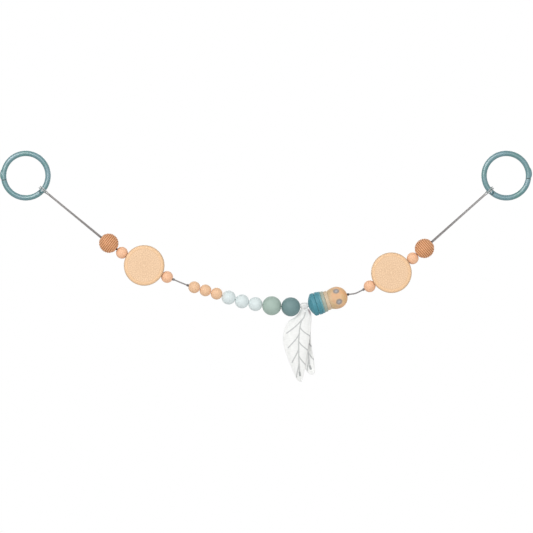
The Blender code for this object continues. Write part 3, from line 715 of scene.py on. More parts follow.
# %% The lathe, and the smooth beads
MOUTH = 2 * MOUTH_RADIUS
BORE = 3.0 * MM
FINE = 0.001 * MM


def lathe(name, profile, centre, axes, steps=112):
    """Sweep (r, z) round the axis. A profile that starts on the axis ends there, at two poles."""
    grid = round_axis(centre, axes, profile[:, :1], full_turn(steps), profile[:, 1:])
    poles = profile[0, 0] == 0
    return skin(name, grid, close_rows=not poles, merge=FINE if poles else 0)


def turn_piece(node, profile, finish, steps=112):
    """Turn the piece of a node on its own bore."""
    centre, axes = seat_of(node)
    mesh = lathe(node + "_turned", profile, centre, axes, steps)
    return finish_piece(node + "_turned", mesh, finish, node, centre, axes)


def ball(diameter):
    """Profile of a bored ball."""
    edge = math.degrees(math.asin(MOUTH / diameter))
    return bored(arc((0, 0), diameter / 2, edge, 180 - edge, 64), BORE, 0.3 * MM)


for nodes, diameter, finish in (
    ("left_outer_small_bead left_inner_small_bead", 12.3, peach_wood),
    ("right_inner_small_bead right_outer_small_bead", 12.3, peach_wood),
    ("natural_bead_1 natural_bead_2 natural_bead_3", 12.3, natural_wood),
    ("pale_bead_1 pale_bead_2 pale_bead_3", 14.5, pale_blue_paint),
    ("sage_bead", 19.8, sage_paint),
    ("slate_bead", 19.8, slate_paint),
):
    for node in nodes.split():
        turn_piece(node, ball(diameter * MM), finish)
print("12 smooth beads")

# %% Grooved beads: the stain pools in the grooves
GROOVED_BEAD = 20.3 * MM
GROOVED_MOUTH = 5.4 * MM
GROOVED_BORE = 4.4 * MM
GROOVES = 9
GROOVE_DEPTH = 0.65 * MM
GROOVE_WIDTH = 1.0 * MM
POOL_REACH = 0.55 * MM
GROOVED_TOP = math.sqrt((GROOVED_BEAD / 2) ** 2 - (GROOVED_MOUTH / 2) ** 2)
GROOVE_STEP = 2 * GROOVED_TOP / (GROOVES + 1)

grooved_wood = wood_finish("grooved_wood", (0.82, 0.42, 0.215), 0.35, 0.55, bore=0)
# a ping-pong of half a step is the distance to the nearest groove, because one lies at z = 0
to_groove = grooved_wood.math("PINGPONG", grooved_wood.parts(grooved_wood.own)[2], GROOVE_STEP / 2)
pooled = grooved_wood.line(to_groove, -1 / POOL_REACH, 1.0)
grooved_wood.tint(grooved_wood.times(pooled, 0.92), (0.33, 0.125, 0.045))


def grooved_ball():
    """Ball radius less d (1 - |z - zk| / (w/2))^0.8 inside each of nine even grooves at zk."""
    z = np.linspace(GROOVED_TOP, -GROOVED_TOP, 260)
    grooves = GROOVED_TOP * (1 - 2 * np.arange(1, GROOVES + 1) / (GROOVES + 1))
    nearest = np.abs(z[:, None] - grooves).min(1)
    cut = GROOVE_DEPTH * clamp(1 - nearest / (GROOVE_WIDTH / 2)) ** 0.8
    outer = np.stack([np.sqrt((GROOVED_BEAD / 2) ** 2 - z**2) - cut, z], axis=1)
    return bored(outer, GROOVED_BORE, 0.3 * MM, sharp=60)


for node in ("left_grooved_bead", "right_grooved_bead"):
    turn_piece(node, grooved_ball(), grooved_wood, 144)
print("2 grooved beads,", GROOVES, "grooves each")

# %% [markdown]
# ## Engraved discs
#
# Each disc is a flat wooden coin, bored edgewise along its diameter and engraved on both faces with
# hair-fine lines that are a little darker than the wood. The engraving here is a plain rosette of
# rings, spokes and scallops. It is worked out from polar coordinates of the disc's own X and Y, so
# the lines stay sharp however close the camera comes.

# %% Lines of the rosette
DISC_RADIUS = 21.0 * MM
FIELD_RADIUS = 17.1 * MM
LINE_HALF, LINE_DEPTH = 0.26 * MM, 0.03 * MM

disc_wood = wood_finish("disc_wood", (0.87, 0.60, 0.375), 0.75, 0.5, deeper=0.92, bore=0, grain=0.6)
# own X runs along the bore and Z stands on the face, so the face is the X-Y plane
disc_x, disc_y, disc_z = disc_wood.parts(disc_wood.own)
face_angle = disc_wood.math("ARCTAN2", disc_y, disc_x)
face_radius = disc_wood.reach(disc_wood.own)
from_middle = disc_wood.math("ABSOLUTE", disc_z)


def line_mask(distance):
    """1 on a line and 0 away from it: 2 - |distance| / half, clamped."""
    away = disc_wood.math("DIVIDE", disc_wood.math("ABSOLUTE", distance), LINE_HALF)
    return disc_wood.math("SUBTRACT", 2.0, away, clamp=True)


def between(value, low, high):
    """1 where low < value < high."""
    above = disc_wood.math("GREATER_THAN", value, low)
    return disc_wood.times(above, disc_wood.math("LESS_THAN", value, high))


def engraved_ring(radius):
    """A line at a radius, given as a number or a socket."""
    return line_mask(disc_wood.math("SUBTRACT", face_radius, radius))


def engraved_spokes(count, low, high, shift=0.0):
    """Radial lines: the arc length to the nearest of count spokes, r |sin(n a / 2)| 2 / n."""
    swing = disc_wood.math("SINE", disc_wood.line(face_angle, count / 2, shift, clamp=False))
    away = disc_wood.times(disc_wood.times(face_radius, swing), 2 / count)
    return disc_wood.times(line_mask(away), between(face_radius, low * MM, high * MM))


def engraved_scallops(count, radius, depth):
    """A wavy ring: distance to r + d |cos(n a / 2)|."""
    wave = disc_wood.math("COSINE", disc_wood.times(face_angle, count / 2))
    wave = disc_wood.math("ABSOLUTE", wave)
    return engraved_ring(disc_wood.line(wave, depth * MM, radius * MM, clamp=False))


rosette = engraved_ring(FIELD_RADIUS)
for lines in (
    engraved_ring(1.9 * MM), engraved_ring(4.4 * MM), engraved_ring(10.4 * MM),
    engraved_spokes(12, 2.3, 4.1), engraved_scallops(12, 5.1, 3.6), engraved_spokes(24, 5.6, 9.7),
    engraved_scallops(24, 11.0, 2.2), engraved_spokes(48, 13.8, 16.5),
    engraved_spokes(24, 11.4, 12.9, math.pi / 2),
):
    rosette = disc_wood.math("MAXIMUM", rosette, lines)
print("rosette:", len(disc_wood.tree.nodes), "nodes")

# %% Colours of the disc
FACE_FROM, FACE_TO = 5.7 * MM, 7.0 * MM
RIM_EDGE_REACH = 1.3 * MM
FIELD_EDGE = 0.8 * MM
MOUTH_SHADE_REACH, RIM_HALF = 3.3 * MM, 4.0 * MM

engraving = disc_wood.times(rosette, between(from_middle, FACE_FROM, FACE_TO))
# painted shade: the wood is greyed where the face turns into the rim
rim_edge_shade = disc_wood.line(face_radius, 1 / RIM_EDGE_REACH, 1 - DISC_RADIUS / RIM_EDGE_REACH)
disc_wood.tint(disc_wood.times(rim_edge_shade, 0.5), (0.42, 0.34, 0.26))
# painted shade: the band round the engraved field is darker and warmer than the field
in_field = disc_wood.line(face_radius, -1 / FIELD_EDGE, FIELD_RADIUS / FIELD_EDGE + 0.5)
rim_band_shade = disc_wood.blend(in_field, (0.98, 0.94, 0.885), (0.975, 0.98, 1.0))
disc_wood.tint(1.0, rim_band_shade, "MULTIPLY")
# painted shade and dirt at the bore's mouths on the rim
from_bore = disc_wood.reach(disc_wood.own, (0, 1, 1))
shaded_mouth = disc_wood.math("LESS_THAN", from_bore, MOUTH_SHADE_REACH)
shaded_mouth = disc_wood.times(shaded_mouth, disc_wood.math("LESS_THAN", from_middle, RIM_HALF))
disc_wood.tint(disc_wood.times(shaded_mouth, 0.85), BORE_DIRT_AND_SHADE)
disc_wood.tint(disc_wood.times(engraving, 0.4), (0.60, 0.38, 0.22))
disc_wood.relief(engraving, LINE_DEPTH, invert=True)
print("disc finish:", len(disc_wood.tree.nodes), "nodes")


# %% Cut with tools, then keep the result
def carve(piece_mesh, tools, sharp=35):
    """Return the mesh after each (tool mesh, operation), exact, with the tools thrown away."""
    blank = put_in_scene("blank", piece_mesh)
    helpers = [blank]
    for tool_mesh, operation in tools:
        helpers.append(put_in_scene("tool", tool_mesh))
        cut = blank.modifiers.new("cut", "BOOLEAN")
        cut.object, cut.operation, cut.solver = helpers[-1], operation, "EXACT"
    graph = bpy.context.evaluated_depsgraph_get()
    done = bpy.data.meshes.new_from_object(blank.evaluated_get(graph))
    for helper in helpers:
        bpy.data.objects.remove(helper)
    done = cleaned(done, 2 * FINE)
    done.materials.clear()
    done.set_sharp_from_angle(angle=math.radians(sharp))
    return done


# %% Turn and bore the two discs
DISC_HALF = 6.0 * MM
DISC_EDGE = 2.6 * MM
DISC_BORE = 3.6 * MM
DISC_MOUTH = 6.9 * MM
OVERRUN = 1.0 * MM
FLARE = (DISC_MOUTH - DISC_BORE) / 2

face_r = np.linspace(0, DISC_RADIUS - DISC_EDGE, 24)[:-1]
face = np.stack([face_r, np.full_like(face_r, DISC_HALF)], axis=1)
disc_rim = rounded_rim(DISC_RADIUS, DISC_HALF, DISC_EDGE)
disc_profile = np.vstack([face, disc_rim, (face * (1, -1))[::-1]])
drill_end, drill_wide = DISC_RADIUS + OVERRUN, DISC_MOUTH / 2 + OVERRUN
drill_neck = (DISC_BORE / 2, DISC_RADIUS - FLARE)
drill_half = np.array([(0, drill_end), (drill_wide, drill_end), drill_neck])
drill = np.vstack([drill_half, (drill_half * (1, -1))[::-1]])

for node in ("left_disc", "right_disc"):
    disc_centre, bore_axes = seat_of(node)
    disc_axes = np.array((bore_axes[2], np.cross(FRONT, bore_axes[2]), FRONT))
    blank_mesh = lathe(node + "_cut", disc_profile, disc_centre, disc_axes, 180)
    drill_mesh = lathe("drill", drill, disc_centre, bore_axes, 48)
    disc_mesh = carve(blank_mesh, [(drill_mesh, "DIFFERENCE")])
    finish_piece(node + "_engraved", disc_mesh, disc_wood, node, disc_centre, disc_axes)
print("2 discs,", round(2 * DISC_RADIUS / MM), "mm across")

# %% [markdown]
# ## Dragonfly body
#
# The body is a stack of turned pieces on the same cord: a domed cap, three painted slices, a
# neck in plain wood and a round head. They are turned one by one. Each face stands 0.13 mm proud of
# the imported solid's, which leaves a hair's gap between neighbours that light can't pass. The rims
# are painted paler, as light in the valleys between the pieces. The green paint has run over the
# thin slice's upper edge, so that slice blends from teal to green.

# %% Paints with painted light along the rims
TEAL, LIT_RIM_TEAL = (0.079, 0.285, 0.35), (0.165, 0.39, 0.445)
OVERRUN_TONE = (0.24, 0.38, 0.36)


def lit_rim_finish(name, colour, cover, roughness, lit_rim_tone):
    """A wood finish, painted paler along a piece's rims as light in the valleys, by a stored share.
    """
    finish = wood_finish(name, colour, cover, roughness)
    finish.tint(finish.stored("lit_rim"), lit_rim_tone)
    return finish


teal_paint = lit_rim_finish("teal_paint", TEAL, 0.75, 0.5, LIT_RIM_TEAL)
green_paint = lit_rim_finish("green_paint", (0.365, 0.415, 0.345), 0.75, 0.5, (0.52, 0.545, 0.455))
beige_stain = lit_rim_finish("beige_stain", (0.665, 0.525, 0.37), 0.4, 0.55, (0.86, 0.70, 0.51))
overrun_paint = lit_rim_finish("overrun_paint", TEAL, 0.75, 0.5, LIT_RIM_TEAL)
slice_height = overrun_paint.parts(overrun_paint.own)[2]
overrun_paint.tint(overrun_paint.line(slice_height, 1 / (0.5 * MM), -0.6), OVERRUN_TONE)
print("four body finishes")

# %% Turn the cap, the slices and the neck
CAP = 23.8 * MM
CAP_DOME = 4.85 * MM
CAP_RIM = 3.8 * MM
CAP_EDGE = 1.5 * MM
CLOSING = 0.13 * MM
RIM_SHARE = 0.2
LIT_FACE_REACH, LIT_RIM_REACH = 0.7 * MM, 1.6 * MM


def cap_profile():
    """A flat face, a rounded rim and a low dome (R t, -d (1 - t^2)) that points down the cord."""
    top = (CAP_DOME + CAP_RIM) / 2
    rim = arc((CAP / 2 - CAP_EDGE, top + CLOSING - CAP_EDGE), CAP_EDGE, 0, 90, 12)
    t = np.linspace(1, MOUTH / CAP, 40)
    dome = np.stack([CAP / 2 * t, top - CAP_RIM - CAP_DOME * (1 - t**2)], axis=1)
    return bored(np.vstack([(MOUTH / 2, top + CLOSING), rim, dome]), BORE, 0.8 * MM)


def slice_profile(diameter, thickness):
    """A slice whose rim is rounded by a fifth of its thickness."""
    half = thickness * MM / 2 + CLOSING
    rim = rounded_rim(diameter * MM / 2, half, thickness * MM * RIM_SHARE)
    return bored(np.vstack([(MOUTH / 2, half), rim, (MOUTH / 2, -half)]), BORE, 0.2 * MM)


for node, profile, finish in (
    ("body_cap", cap_profile(), teal_paint),
    ("body_slice_teal", slice_profile(23.8, 3.6), teal_paint),
    ("body_slice_thin", slice_profile(23.0, 2.2), overrun_paint),
    ("body_slice_green", slice_profile(21.9, 2.9), green_paint),
    ("neck_slice", slice_profile(20.2, 3.5), beige_stain),
):
    slice_mesh = turn_piece(node, profile, finish, 144).data
    place = own_place(slice_mesh, *seat_of(node))
    reach, height = np.hypot(place[:, 0], place[:, 1]), place[:, 2]
    to_face = height.max() - (height if node == "body_cap" else np.abs(height))
    to_rim = reach.max() - reach
    # painted light: the paint is paler near each rim and face
    store(slice_mesh, "lit_rim", clamp(1 - to_face / LIT_FACE_REACH) * clamp(1 - to_rim / LIT_RIM_REACH))
print("5 body pieces")

# %% [markdown]
# ## Head
#
# The head is a bored ball, drawn out a little to a flat for the neck, with two shallow round eyes,
# cut in and painted: a grey-brown ring round a pale grey middle. The mesh stores the distance from
# each point to the nearer eye's axis. The same number presses the eye in and tells the paint where
# to change colour.

# %% Head finish
HEAD = 22.9 * MM
EYE_RADIUS = 3.5 * MM
EYE_RAMP = 4.0

head_wood = wood_finish("head_wood", (0.82, 0.535, 0.32), 0.45, 0.55, deeper=0.9)
# painted shade and the stain's tone: darker and greyer towards the neck, brightest a little past
# the middle, darker and more orange towards the bore, by share 0 .. 1 of the head's own Z
up_share = head_wood.line(head_wood.parts(head_wood.own)[2], 1 / HEAD, 0.5, clamp=False)
shade_and_tone = head_wood.ramp(
    up_share, (0.15, (0.79, 0.89, 0.92)), (0.37, (0.90, 0.89, 0.88)), (0.5, (0.88, 0.89, 0.89)),
    (0.67, (0.98, 1.0, 1.0)), (0.8, (1.0, 0.97, 0.86)), (0.93, (0.95, 0.88, 0.76)),
)
head_wood.tint(1.0, shade_and_tone, "MULTIPLY")
patches = head_wood.noise(head_wood.own, 110.0, 1.0)
patch_tint = head_wood.ramp(
    patches, (0.38, (0.93, 0.96, 0.90)), (0.5, (1.0, 1.0, 1.0)), (0.62, (1.0, 0.91, 0.86))
)
head_wood.tint(1.0, patch_tint, "MULTIPLY")
eye_distance = head_wood.stored("eye")
# across the eye, from its middle to 4 mm out: pale, grey-brown ring, soft edge
eye_tone = head_wood.ramp(
    head_wood.times(eye_distance, 1 / EYE_RAMP), (0.16, (0.45, 0.44, 0.45)),
    (0.45, (0.325, 0.287, 0.27)), (0.74, (0.355, 0.295, 0.26)), (0.88, (0.52, 0.40, 0.29)),
)
head_wood.tint(head_wood.line(eye_distance, -2.5, 2.5 * EYE_RADIUS / MM + 0.5), eye_tone)
print("head finish:", len(head_wood.tree.nodes), "nodes")

# %% Turn the head and press the eyes in
HEAD_LONG = 13.8 * MM
HEAD_FLAT = 0.70 * HEAD / 2
EYE_TURN = math.radians(-6.5)
EYE_DEPTH = 0.5 * MM
EYE_WALL = 0.35 * MM
EYE_FORWARD = 1.5 * MM
EYE_SPREAD = 6.1 * MM
NO_EYE = 20 * MM

head_centre, head_axes = seat_of("head")
first = math.degrees(math.asin(MOUTH / HEAD))
drawn = np.linspace(math.pi / 2, math.acos(-HEAD_FLAT / HEAD_LONG), 80)[1:]
neck_end = np.stack([HEAD / 2 * np.sin(drawn), HEAD_LONG * np.cos(drawn)], axis=1)
head_outer = np.vstack([arc((0, 0), HEAD / 2, first, 90, 110), neck_end, (MOUTH / 2, -HEAD_FLAT)])
head_mesh = lathe("head_turned", bored(head_outer, BORE, 0.35 * MM), head_centre, head_axes, 300)
place = own_place(head_mesh, head_centre, head_axes)
size = norms(place)
on_skin = size > HEAD / 2 - 0.05 * MM
ahead = math.sqrt((HEAD / 2) ** 2 - EYE_SPREAD**2 - EYE_FORWARD**2)
# the head sits turned a little on the cord, so that the eyes look slightly up
lift, slant = math.cos(EYE_TURN), math.sin(EYE_TURN)
eye_ways = np.array([
    (ahead * lift - way * EYE_SPREAD * slant, ahead * slant + way * EYE_SPREAD * lift, EYE_FORWARD)
    for way in (1, -1)
])
eye_ways /= norms(eye_ways)[:, None]
to_eye = np.arccos(np.clip((place / size[:, None]) @ eye_ways.T, -1, 1)).min(1) * HEAD / 2
pressed = EYE_DEPTH * eased((EYE_RADIUS - to_eye) / EYE_WALL) * on_skin
moved = head_centre + (place * (1 - pressed / size)[:, None]) @ head_axes
head_mesh.vertices.foreach_set("co", moved.ravel())
store(head_mesh, "eye", np.where(on_skin, to_eye, NO_EYE) / MM)
finish_piece("head_turned", head_mesh, head_wood, "head", head_centre, head_axes)
print("head", round(HEAD / MM, 1), "mm, eyes", round(2 * EYE_RADIUS / MM, 1), "mm")

# %% [markdown]
# ## Snap rings
#
# Each ring is a round bar of glossy plastic bent into a circle, in two pieces: a fixed bow and a
# gate that swings on a steel pin. A tongue on the gate sits in a slot in the bow, and a nub on
# its far end snaps into a dimple. The bar is a circle carried round the ring. A swelling near
# the seam is the lip that a thumb pushes against. The seam and the hinge are painted darker as
# shade, so the distance of each point from them is stored and darkens the plastic there.

# %% Ring and pin finishes
PARTING_HALF = 0.14 * MM
PARTING_HEIGHT = 0.04 * MM
BRUSHED = (1.0, 2.0, (4000, 200, 4000))

plastic = Finish("ring_plastic", 0.15)
in_ring = plastic.in_object()
mottle = plastic.noise(in_ring, 60.0)
plastic.paint(plastic.ramp(
    mottle, (0.32, (0.106, 0.240, 0.232)), (0.5, (0.124, 0.248, 0.268)),
    (0.68, (0.152, 0.272, 0.308)),
))
# painted shade in the seam and round the hinge
plastic.tint(plastic.stored("crevice_shade"), (0.030, 0.042, 0.045))
handling = plastic.noise(in_ring, 150.0)
plastic.shade(Roughness=plastic.line(handling, 0.08, 0.21, clamp=False))
# the mould's halves meet in a fine raised line on the ring's middle plane
off_middle = plastic.math("ABSOLUTE", plastic.parts(in_ring)[1])
off_middle = plastic.math("DIVIDE", off_middle, PARTING_HALF)
plastic.relief(plastic.math("SUBTRACT", 1.0, off_middle, clamp=True), PARTING_HEIGHT)

steel = Finish("pin_steel", 0.32, Metallic=1.0)
brushed = steel.noise(steel.in_object(), *BRUSHED)
steel.paint(steel.ramp(brushed, (0.3, (0.30, 0.32, 0.33)), (0.7, (0.44, 0.46, 0.47))))
print("ring and pin finishes")

# %% Bend a bar
LIP_LENGTH = 9.0 * MM
LIP_WIDTH = 5.0 * MM
LIP_STAND = 0.95 * MM
BAR_SIDES = 56
SEAM_EASING = np.array((0.0, 0.03, 0.12, 0.28)) * MM


def ring_bar(name, centre, hinge, seam, lip_at=None):
    """Circle of radius q(t) + s(a, t) carried round the ring from the hinge to the seam.

    q falls to a rounded nose at the hinge and eases at the seam; s swells outwards at the lip.
    """
    nose_share = np.sin(np.linspace(math.pi / 2 * 0.96, 0, 9))[:-1]
    nose_turn = np.degrees(nose_share * RING_BAR / 2 / RING_RADIUS)
    ease_turn = np.degrees(SEAM_EASING[::-1] / RING_RADIUS)
    heading = 1 if seam > hinge else -1
    along = np.concatenate([
        hinge - heading * nose_turn,
        np.linspace(hinge, seam - heading * ease_turn[0], int(abs(seam - hinge) * 1.1))[:-1],
        seam - heading * ease_turn,
    ])
    radius = np.full(len(along), RING_BAR / 2)
    radius[: len(nose_share)] *= np.sqrt(1 - nose_share**2)
    radius[-len(SEAM_EASING) :] -= SEAM_EASING
    a, t = np.meshgrid(full_turn(BAR_SIDES), np.radians(along))
    section = radius[:, None] * np.ones_like(a)
    if lip_at is not None:
        travel = (t - math.radians(lip_at)) * RING_RADIUS / (LIP_LENGTH / 2)
        width = np.sin(a) * RING_BAR / LIP_WIDTH
        section += LIP_STAND * clamp(1 - travel**2 - width**2) ** 0.6 * (np.cos(a) > 0)
    reach = RING_RADIUS + section * np.cos(a)
    grid = centre + np.stack([reach * np.cos(t), section * np.sin(a), reach * np.sin(t)], axis=-1)
    return skin(name, grid, caps=True)


# %% Hinge tools and crevices
ROD_AXES = np.array(((1.0, 0, 0), (0, 0, -1.0), (0, 1.0, 0)))
SEAM_SHADE, PIN_SHADE = 0.5 * MM, 0.7 * MM


def rod(centre, diameter, length, steps=72):
    """A plain cutting cylinder along Y."""
    half = np.array([(0, length / 2), (diameter / 2, length / 2)])
    return lathe("rod", np.vstack([half, (half * (1, -1))[::-1]]), centre, ROD_AXES, steps)


def sphere(centre, diameter):
    """A round nub or the tool that cuts its dimple."""
    return lathe("sphere", arc((0, 0), diameter / 2, 0, 180, 24), centre, ROD_AXES, 48)


def on_ring(centre, degrees):
    """c + R (cos t, 0, sin t)."""
    turn = math.radians(degrees)
    return centre + RING_RADIUS * np.array((math.cos(turn), 0, math.sin(turn)))


def store_crevice(mesh, centre, seam, pin_at):
    """Painted shade: 1.2 - d / 0.5 mm from the seam's plane, d = R |t - seam|, and up to 0.6 at the
    knuckle.
    """
    place = points_of(mesh)
    turn = np.arctan2(place[:, 2] - centre[2], place[:, 0] - centre[0]) - math.radians(seam)
    from_seam = np.abs(np.angle(np.exp(1j * turn))) * RING_RADIUS
    from_pin = np.abs(norms((place - pin_at)[:, (0, 2)]) - RING_BAR / 2)
    by_pin = 0.6 * clamp(1 - from_pin / PIN_SHADE)
    store(mesh, "crevice_shade", np.maximum(clamp(1.2 - from_seam / SEAM_SHADE), by_pin))


# %% Bend the bars and fit the hinges
GATE_SPAN = 125
TONGUE = 1.6 * MM
PIN = 1.2 * MM
PIN_BORE = PIN + 0.2 * MM
PIN_LENGTH = 4.6 * MM
PIN_EDGE = 0.15 * MM
NUB = 3.2 * MM
NUB_SUNK = 0.9 * MM
LIP_FROM_SEAM = 15
SEAM_CLOSING = 0.22 * MM


def turn_of(length):
    """The angle, in degrees, of a length of the ring's middle line."""
    return math.degrees(length / RING_RADIUS)


swing = RING_BAR + 2 * CLEARANCE
pin_profile = np.vstack([
    (0, PIN_LENGTH / 2), rounded_rim(PIN / 2, PIN_LENGTH / 2, PIN_EDGE, 6), (0, -PIN_LENGTH / 2)
])
for side, hinge, heading in (("left", 316.5, -1), ("right", 227.5, 1)):
    ring_centre = RING_CENTRES[side]
    seam = hinge + heading * GATE_SPAN
    bow_end = hinge - heading * (360 - GATE_SPAN - turn_of(CLEARANCE - SEAM_CLOSING))
    lip_middle = bow_end + heading * (LIP_FROM_SEAM - turn_of(CLEARANCE))
    pin_at = on_ring(ring_centre, hinge)
    nub_at = on_ring(ring_centre, seam - heading * turn_of(NUB_SUNK))
    beside = np.array((0, (TONGUE + RING_BAR) / 2, 0))
    bow_mesh = carve(ring_bar("bow", ring_centre, hinge, bow_end, lip_middle), [
        (rod(pin_at, swing, TONGUE + 2 * CLEARANCE), "DIFFERENCE"),
        (rod(pin_at, PIN_BORE, RING_BAR + OVERRUN, 32), "DIFFERENCE"),
        (sphere(nub_at, NUB + 2 * CLEARANCE), "DIFFERENCE"),
    ])
    gate_mesh = carve(ring_bar("gate", ring_centre, hinge, seam), [
        (rod(pin_at + beside, swing, RING_BAR), "DIFFERENCE"),
        (rod(pin_at - beside, swing, RING_BAR), "DIFFERENCE"),
        (rod(pin_at, PIN_BORE, RING_BAR + OVERRUN, 32), "DIFFERENCE"),
        (sphere(nub_at, NUB), "UNION"),
    ])
    for mesh, kind in ((bow_mesh, "bow"), (gate_mesh, "gate")):
        store_crevice(mesh, ring_centre, seam, pin_at)
        finish_piece(f"{side}_{kind}", mesh, plastic, f"{side}_ring_{kind}")
    pin_mesh = lathe("pin", pin_profile, pin_at, ROD_AXES, 32)
    finish_piece(side + "_pin", pin_mesh, steel, side + "_hinge_pin")
    print(side, "ring", round(2 * (RING_RADIUS + RING_BAR / 2) / MM, 1), "mm across")

# %% [markdown]
# ## Cotton wings
#
# Two wings of thin printed cotton hang from the cord, gathered into a few pleats where they are
# tied round it. A wing is one sheet: u runs down from the root and v across, between two outline
# curves. Its distance out from the cord is a sum of plain terms, a soft belly, pleats that fade
# down from the root, a long fold, and a narrow sewn channel inside the edge. The print is a tree of
# veins, like a leaf's. It is drawn in the flat cloth and stored on the mesh as the share of ink.

# %% Cotton finish
SLUB = (1500.0, 2.0, (1, 0.12, 1))
INK_POOLS = (900.0, 3.0)
THREAD_SCALE = 700.0
WEAVE_DEPTH = 0.05 * MM

cotton = Finish(
    "wing_cotton", 0.9, Sheen_Weight=0.3, Subsurface_Weight=0.12,
    Subsurface_Radius=(0.002, 0.002, 0.002),
)
flat = cotton.add("UVMap", uv_map="UVMap").outputs[0]
slub = cotton.noise(flat, *SLUB)
cotton.paint(cotton.ramp(slub, (0.3, (0.80, 0.805, 0.79)), (0.7, (0.88, 0.885, 0.87))))
# pink tint and painted shade at the root and the folded strip, and a painted shadow beside the cap
cotton.tint(cotton.stored("pink_and_shade"), (0.25, 0.19, 0.205))
pool = cotton.line(cotton.noise(flat, *INK_POOLS), 0.5, 0.5, clamp=False)
ink_share = cotton.math("MULTIPLY", cotton.stored("ink"), pool, clamp=True)
cotton.tint(ink_share, (0.22, 0.235, 0.24))
warp, weft = (
    cotton.add(
        "TexWave", {"Vector": flat, "Scale": THREAD_SCALE}, wave_type="BANDS", bands_direction=way
    ).outputs[1]
    for way in "XY"
)
weave = cotton.math("MULTIPLY_ADD", warp, 0.5, cotton.times(weft, 0.5))
cotton.relief(cotton.math("ADD", weave, slub), WEAVE_DEPTH)
print("cotton finish:", len(cotton.tree.nodes), "nodes")

# %% Outlines and veins of the wings
FRONT_SHARES = [
    (0.030, -0.042, 0.062), (0.043, -0.050, 0.069), (0.084, -0.070, 0.086), (0.137, -0.117, 0.092),
    (0.191, -0.200, 0.091), (0.270, -0.250, 0.085), (0.363, -0.275, 0.076), (0.456, -0.279, 0.062),
    (0.562, -0.256, 0.046), (0.669, -0.222, 0.029), (0.775, -0.179, 0.012), (0.868, -0.139, -0.004),
    (0.948, -0.106, -0.020), (0.994, -0.076, -0.031),
]
REAR_SHARES = [
    (0.033, -0.040, 0.045), (0.047, -0.045, 0.055), (0.093, -0.040, 0.076), (0.151, -0.035, 0.083),
    (0.254, -0.060, 0.087), (0.400, -0.070, 0.089), (0.503, -0.070, 0.094), (0.605, -0.060, 0.107),
    (0.707, -0.035, 0.125), (0.824, -0.010, 0.142), (0.906, 0.015, 0.149), (0.956, 0.050, 0.150),
    (0.993, 0.090, 0.134),
]
SIDE_VEINS = 7
MIDRIB_SWAY = 0.10
VEIN_HALF, SPOT_HALF = 0.58 * MM, 1.0 * MM
VEIN_INK = 0.7


def nearest_line(points, line):
    """Distance from each point to a line drawn as a chain of short steps."""
    start, step = line[:-1], np.diff(line, axis=0)
    best = np.full(len(points), np.inf)
    for a, d in zip(start, step):
        t = clamp(((points - a) @ d) / (d @ d))
        best = np.minimum(best, norms(points - a - t[:, None] * d))
    return best


def edges_at(outline, down):
    """The outline's two edges at a share of the length down."""
    return (np.interp(down, outline[:, 0], outline[:, k]) for k in (1, 2))


def ink_on(points, outline, length):
    """Ink of a midrib down the middle, side veins that leave it in turn, and a spot below it."""
    def at(down, across):
        left, right = edges_at(outline, down)
        return np.stack([(left + (right - left) * across) * length, -down * length], axis=-1)

    def inked(line, half, soft):
        return clamp((half + 0.2 * MM - nearest_line(points, line)) / soft)

    low, high = outline[0, 0], outline[-1, 0]
    run = np.linspace(low + 0.05, high - 0.10, 40)
    veins = [at(run, 0.5 + MIDRIB_SWAY * np.sin(3 * run))]
    t = np.linspace(0, 1, 24)
    for k, leave in enumerate(np.linspace(0.16, 0.74, SIDE_VEINS)):
        side = -1 if k % 2 == 0 else 1
        across = 0.5 + MIDRIB_SWAY * math.sin(3 * leave) + side * 0.43 * t**1.25
        veins.append(at(leave + (0.16 - 0.03 * side) * t**0.8, across))
    ink = VEIN_INK * np.max([inked(line, VEIN_HALF, 0.3 * MM) for line in veins], axis=0)
    spot = at(np.array([high - 0.125, high - 0.085]), np.array([0.55, 0.58]))
    return np.maximum(ink, inked(spot, SPOT_HALF, 0.35 * MM))


# %% Shape a wing
CLOTH = 0.7 * MM
CLEAR = 0.7 * MM
WING_ROWS, WING_COLUMNS = 230, 120
PLEAT, FOLD, CHANNEL = 1.3 * MM, 0.9 * MM, 0.16 * MM
PLEATS, PLEAT_FADE = 2.5, 6.5
CHANNEL_IN, CHANNEL_HALF = 1.7 * MM, 0.3 * MM
END_ROUND = 0.035
# shares of pink tint and painted shade at the root and the fold, and of painted shadow at the spot
ROOT_PINK_SHADE, FOLD_PINK_SHADE, TIE_SHADE = 0.12, 0.05, 0.9


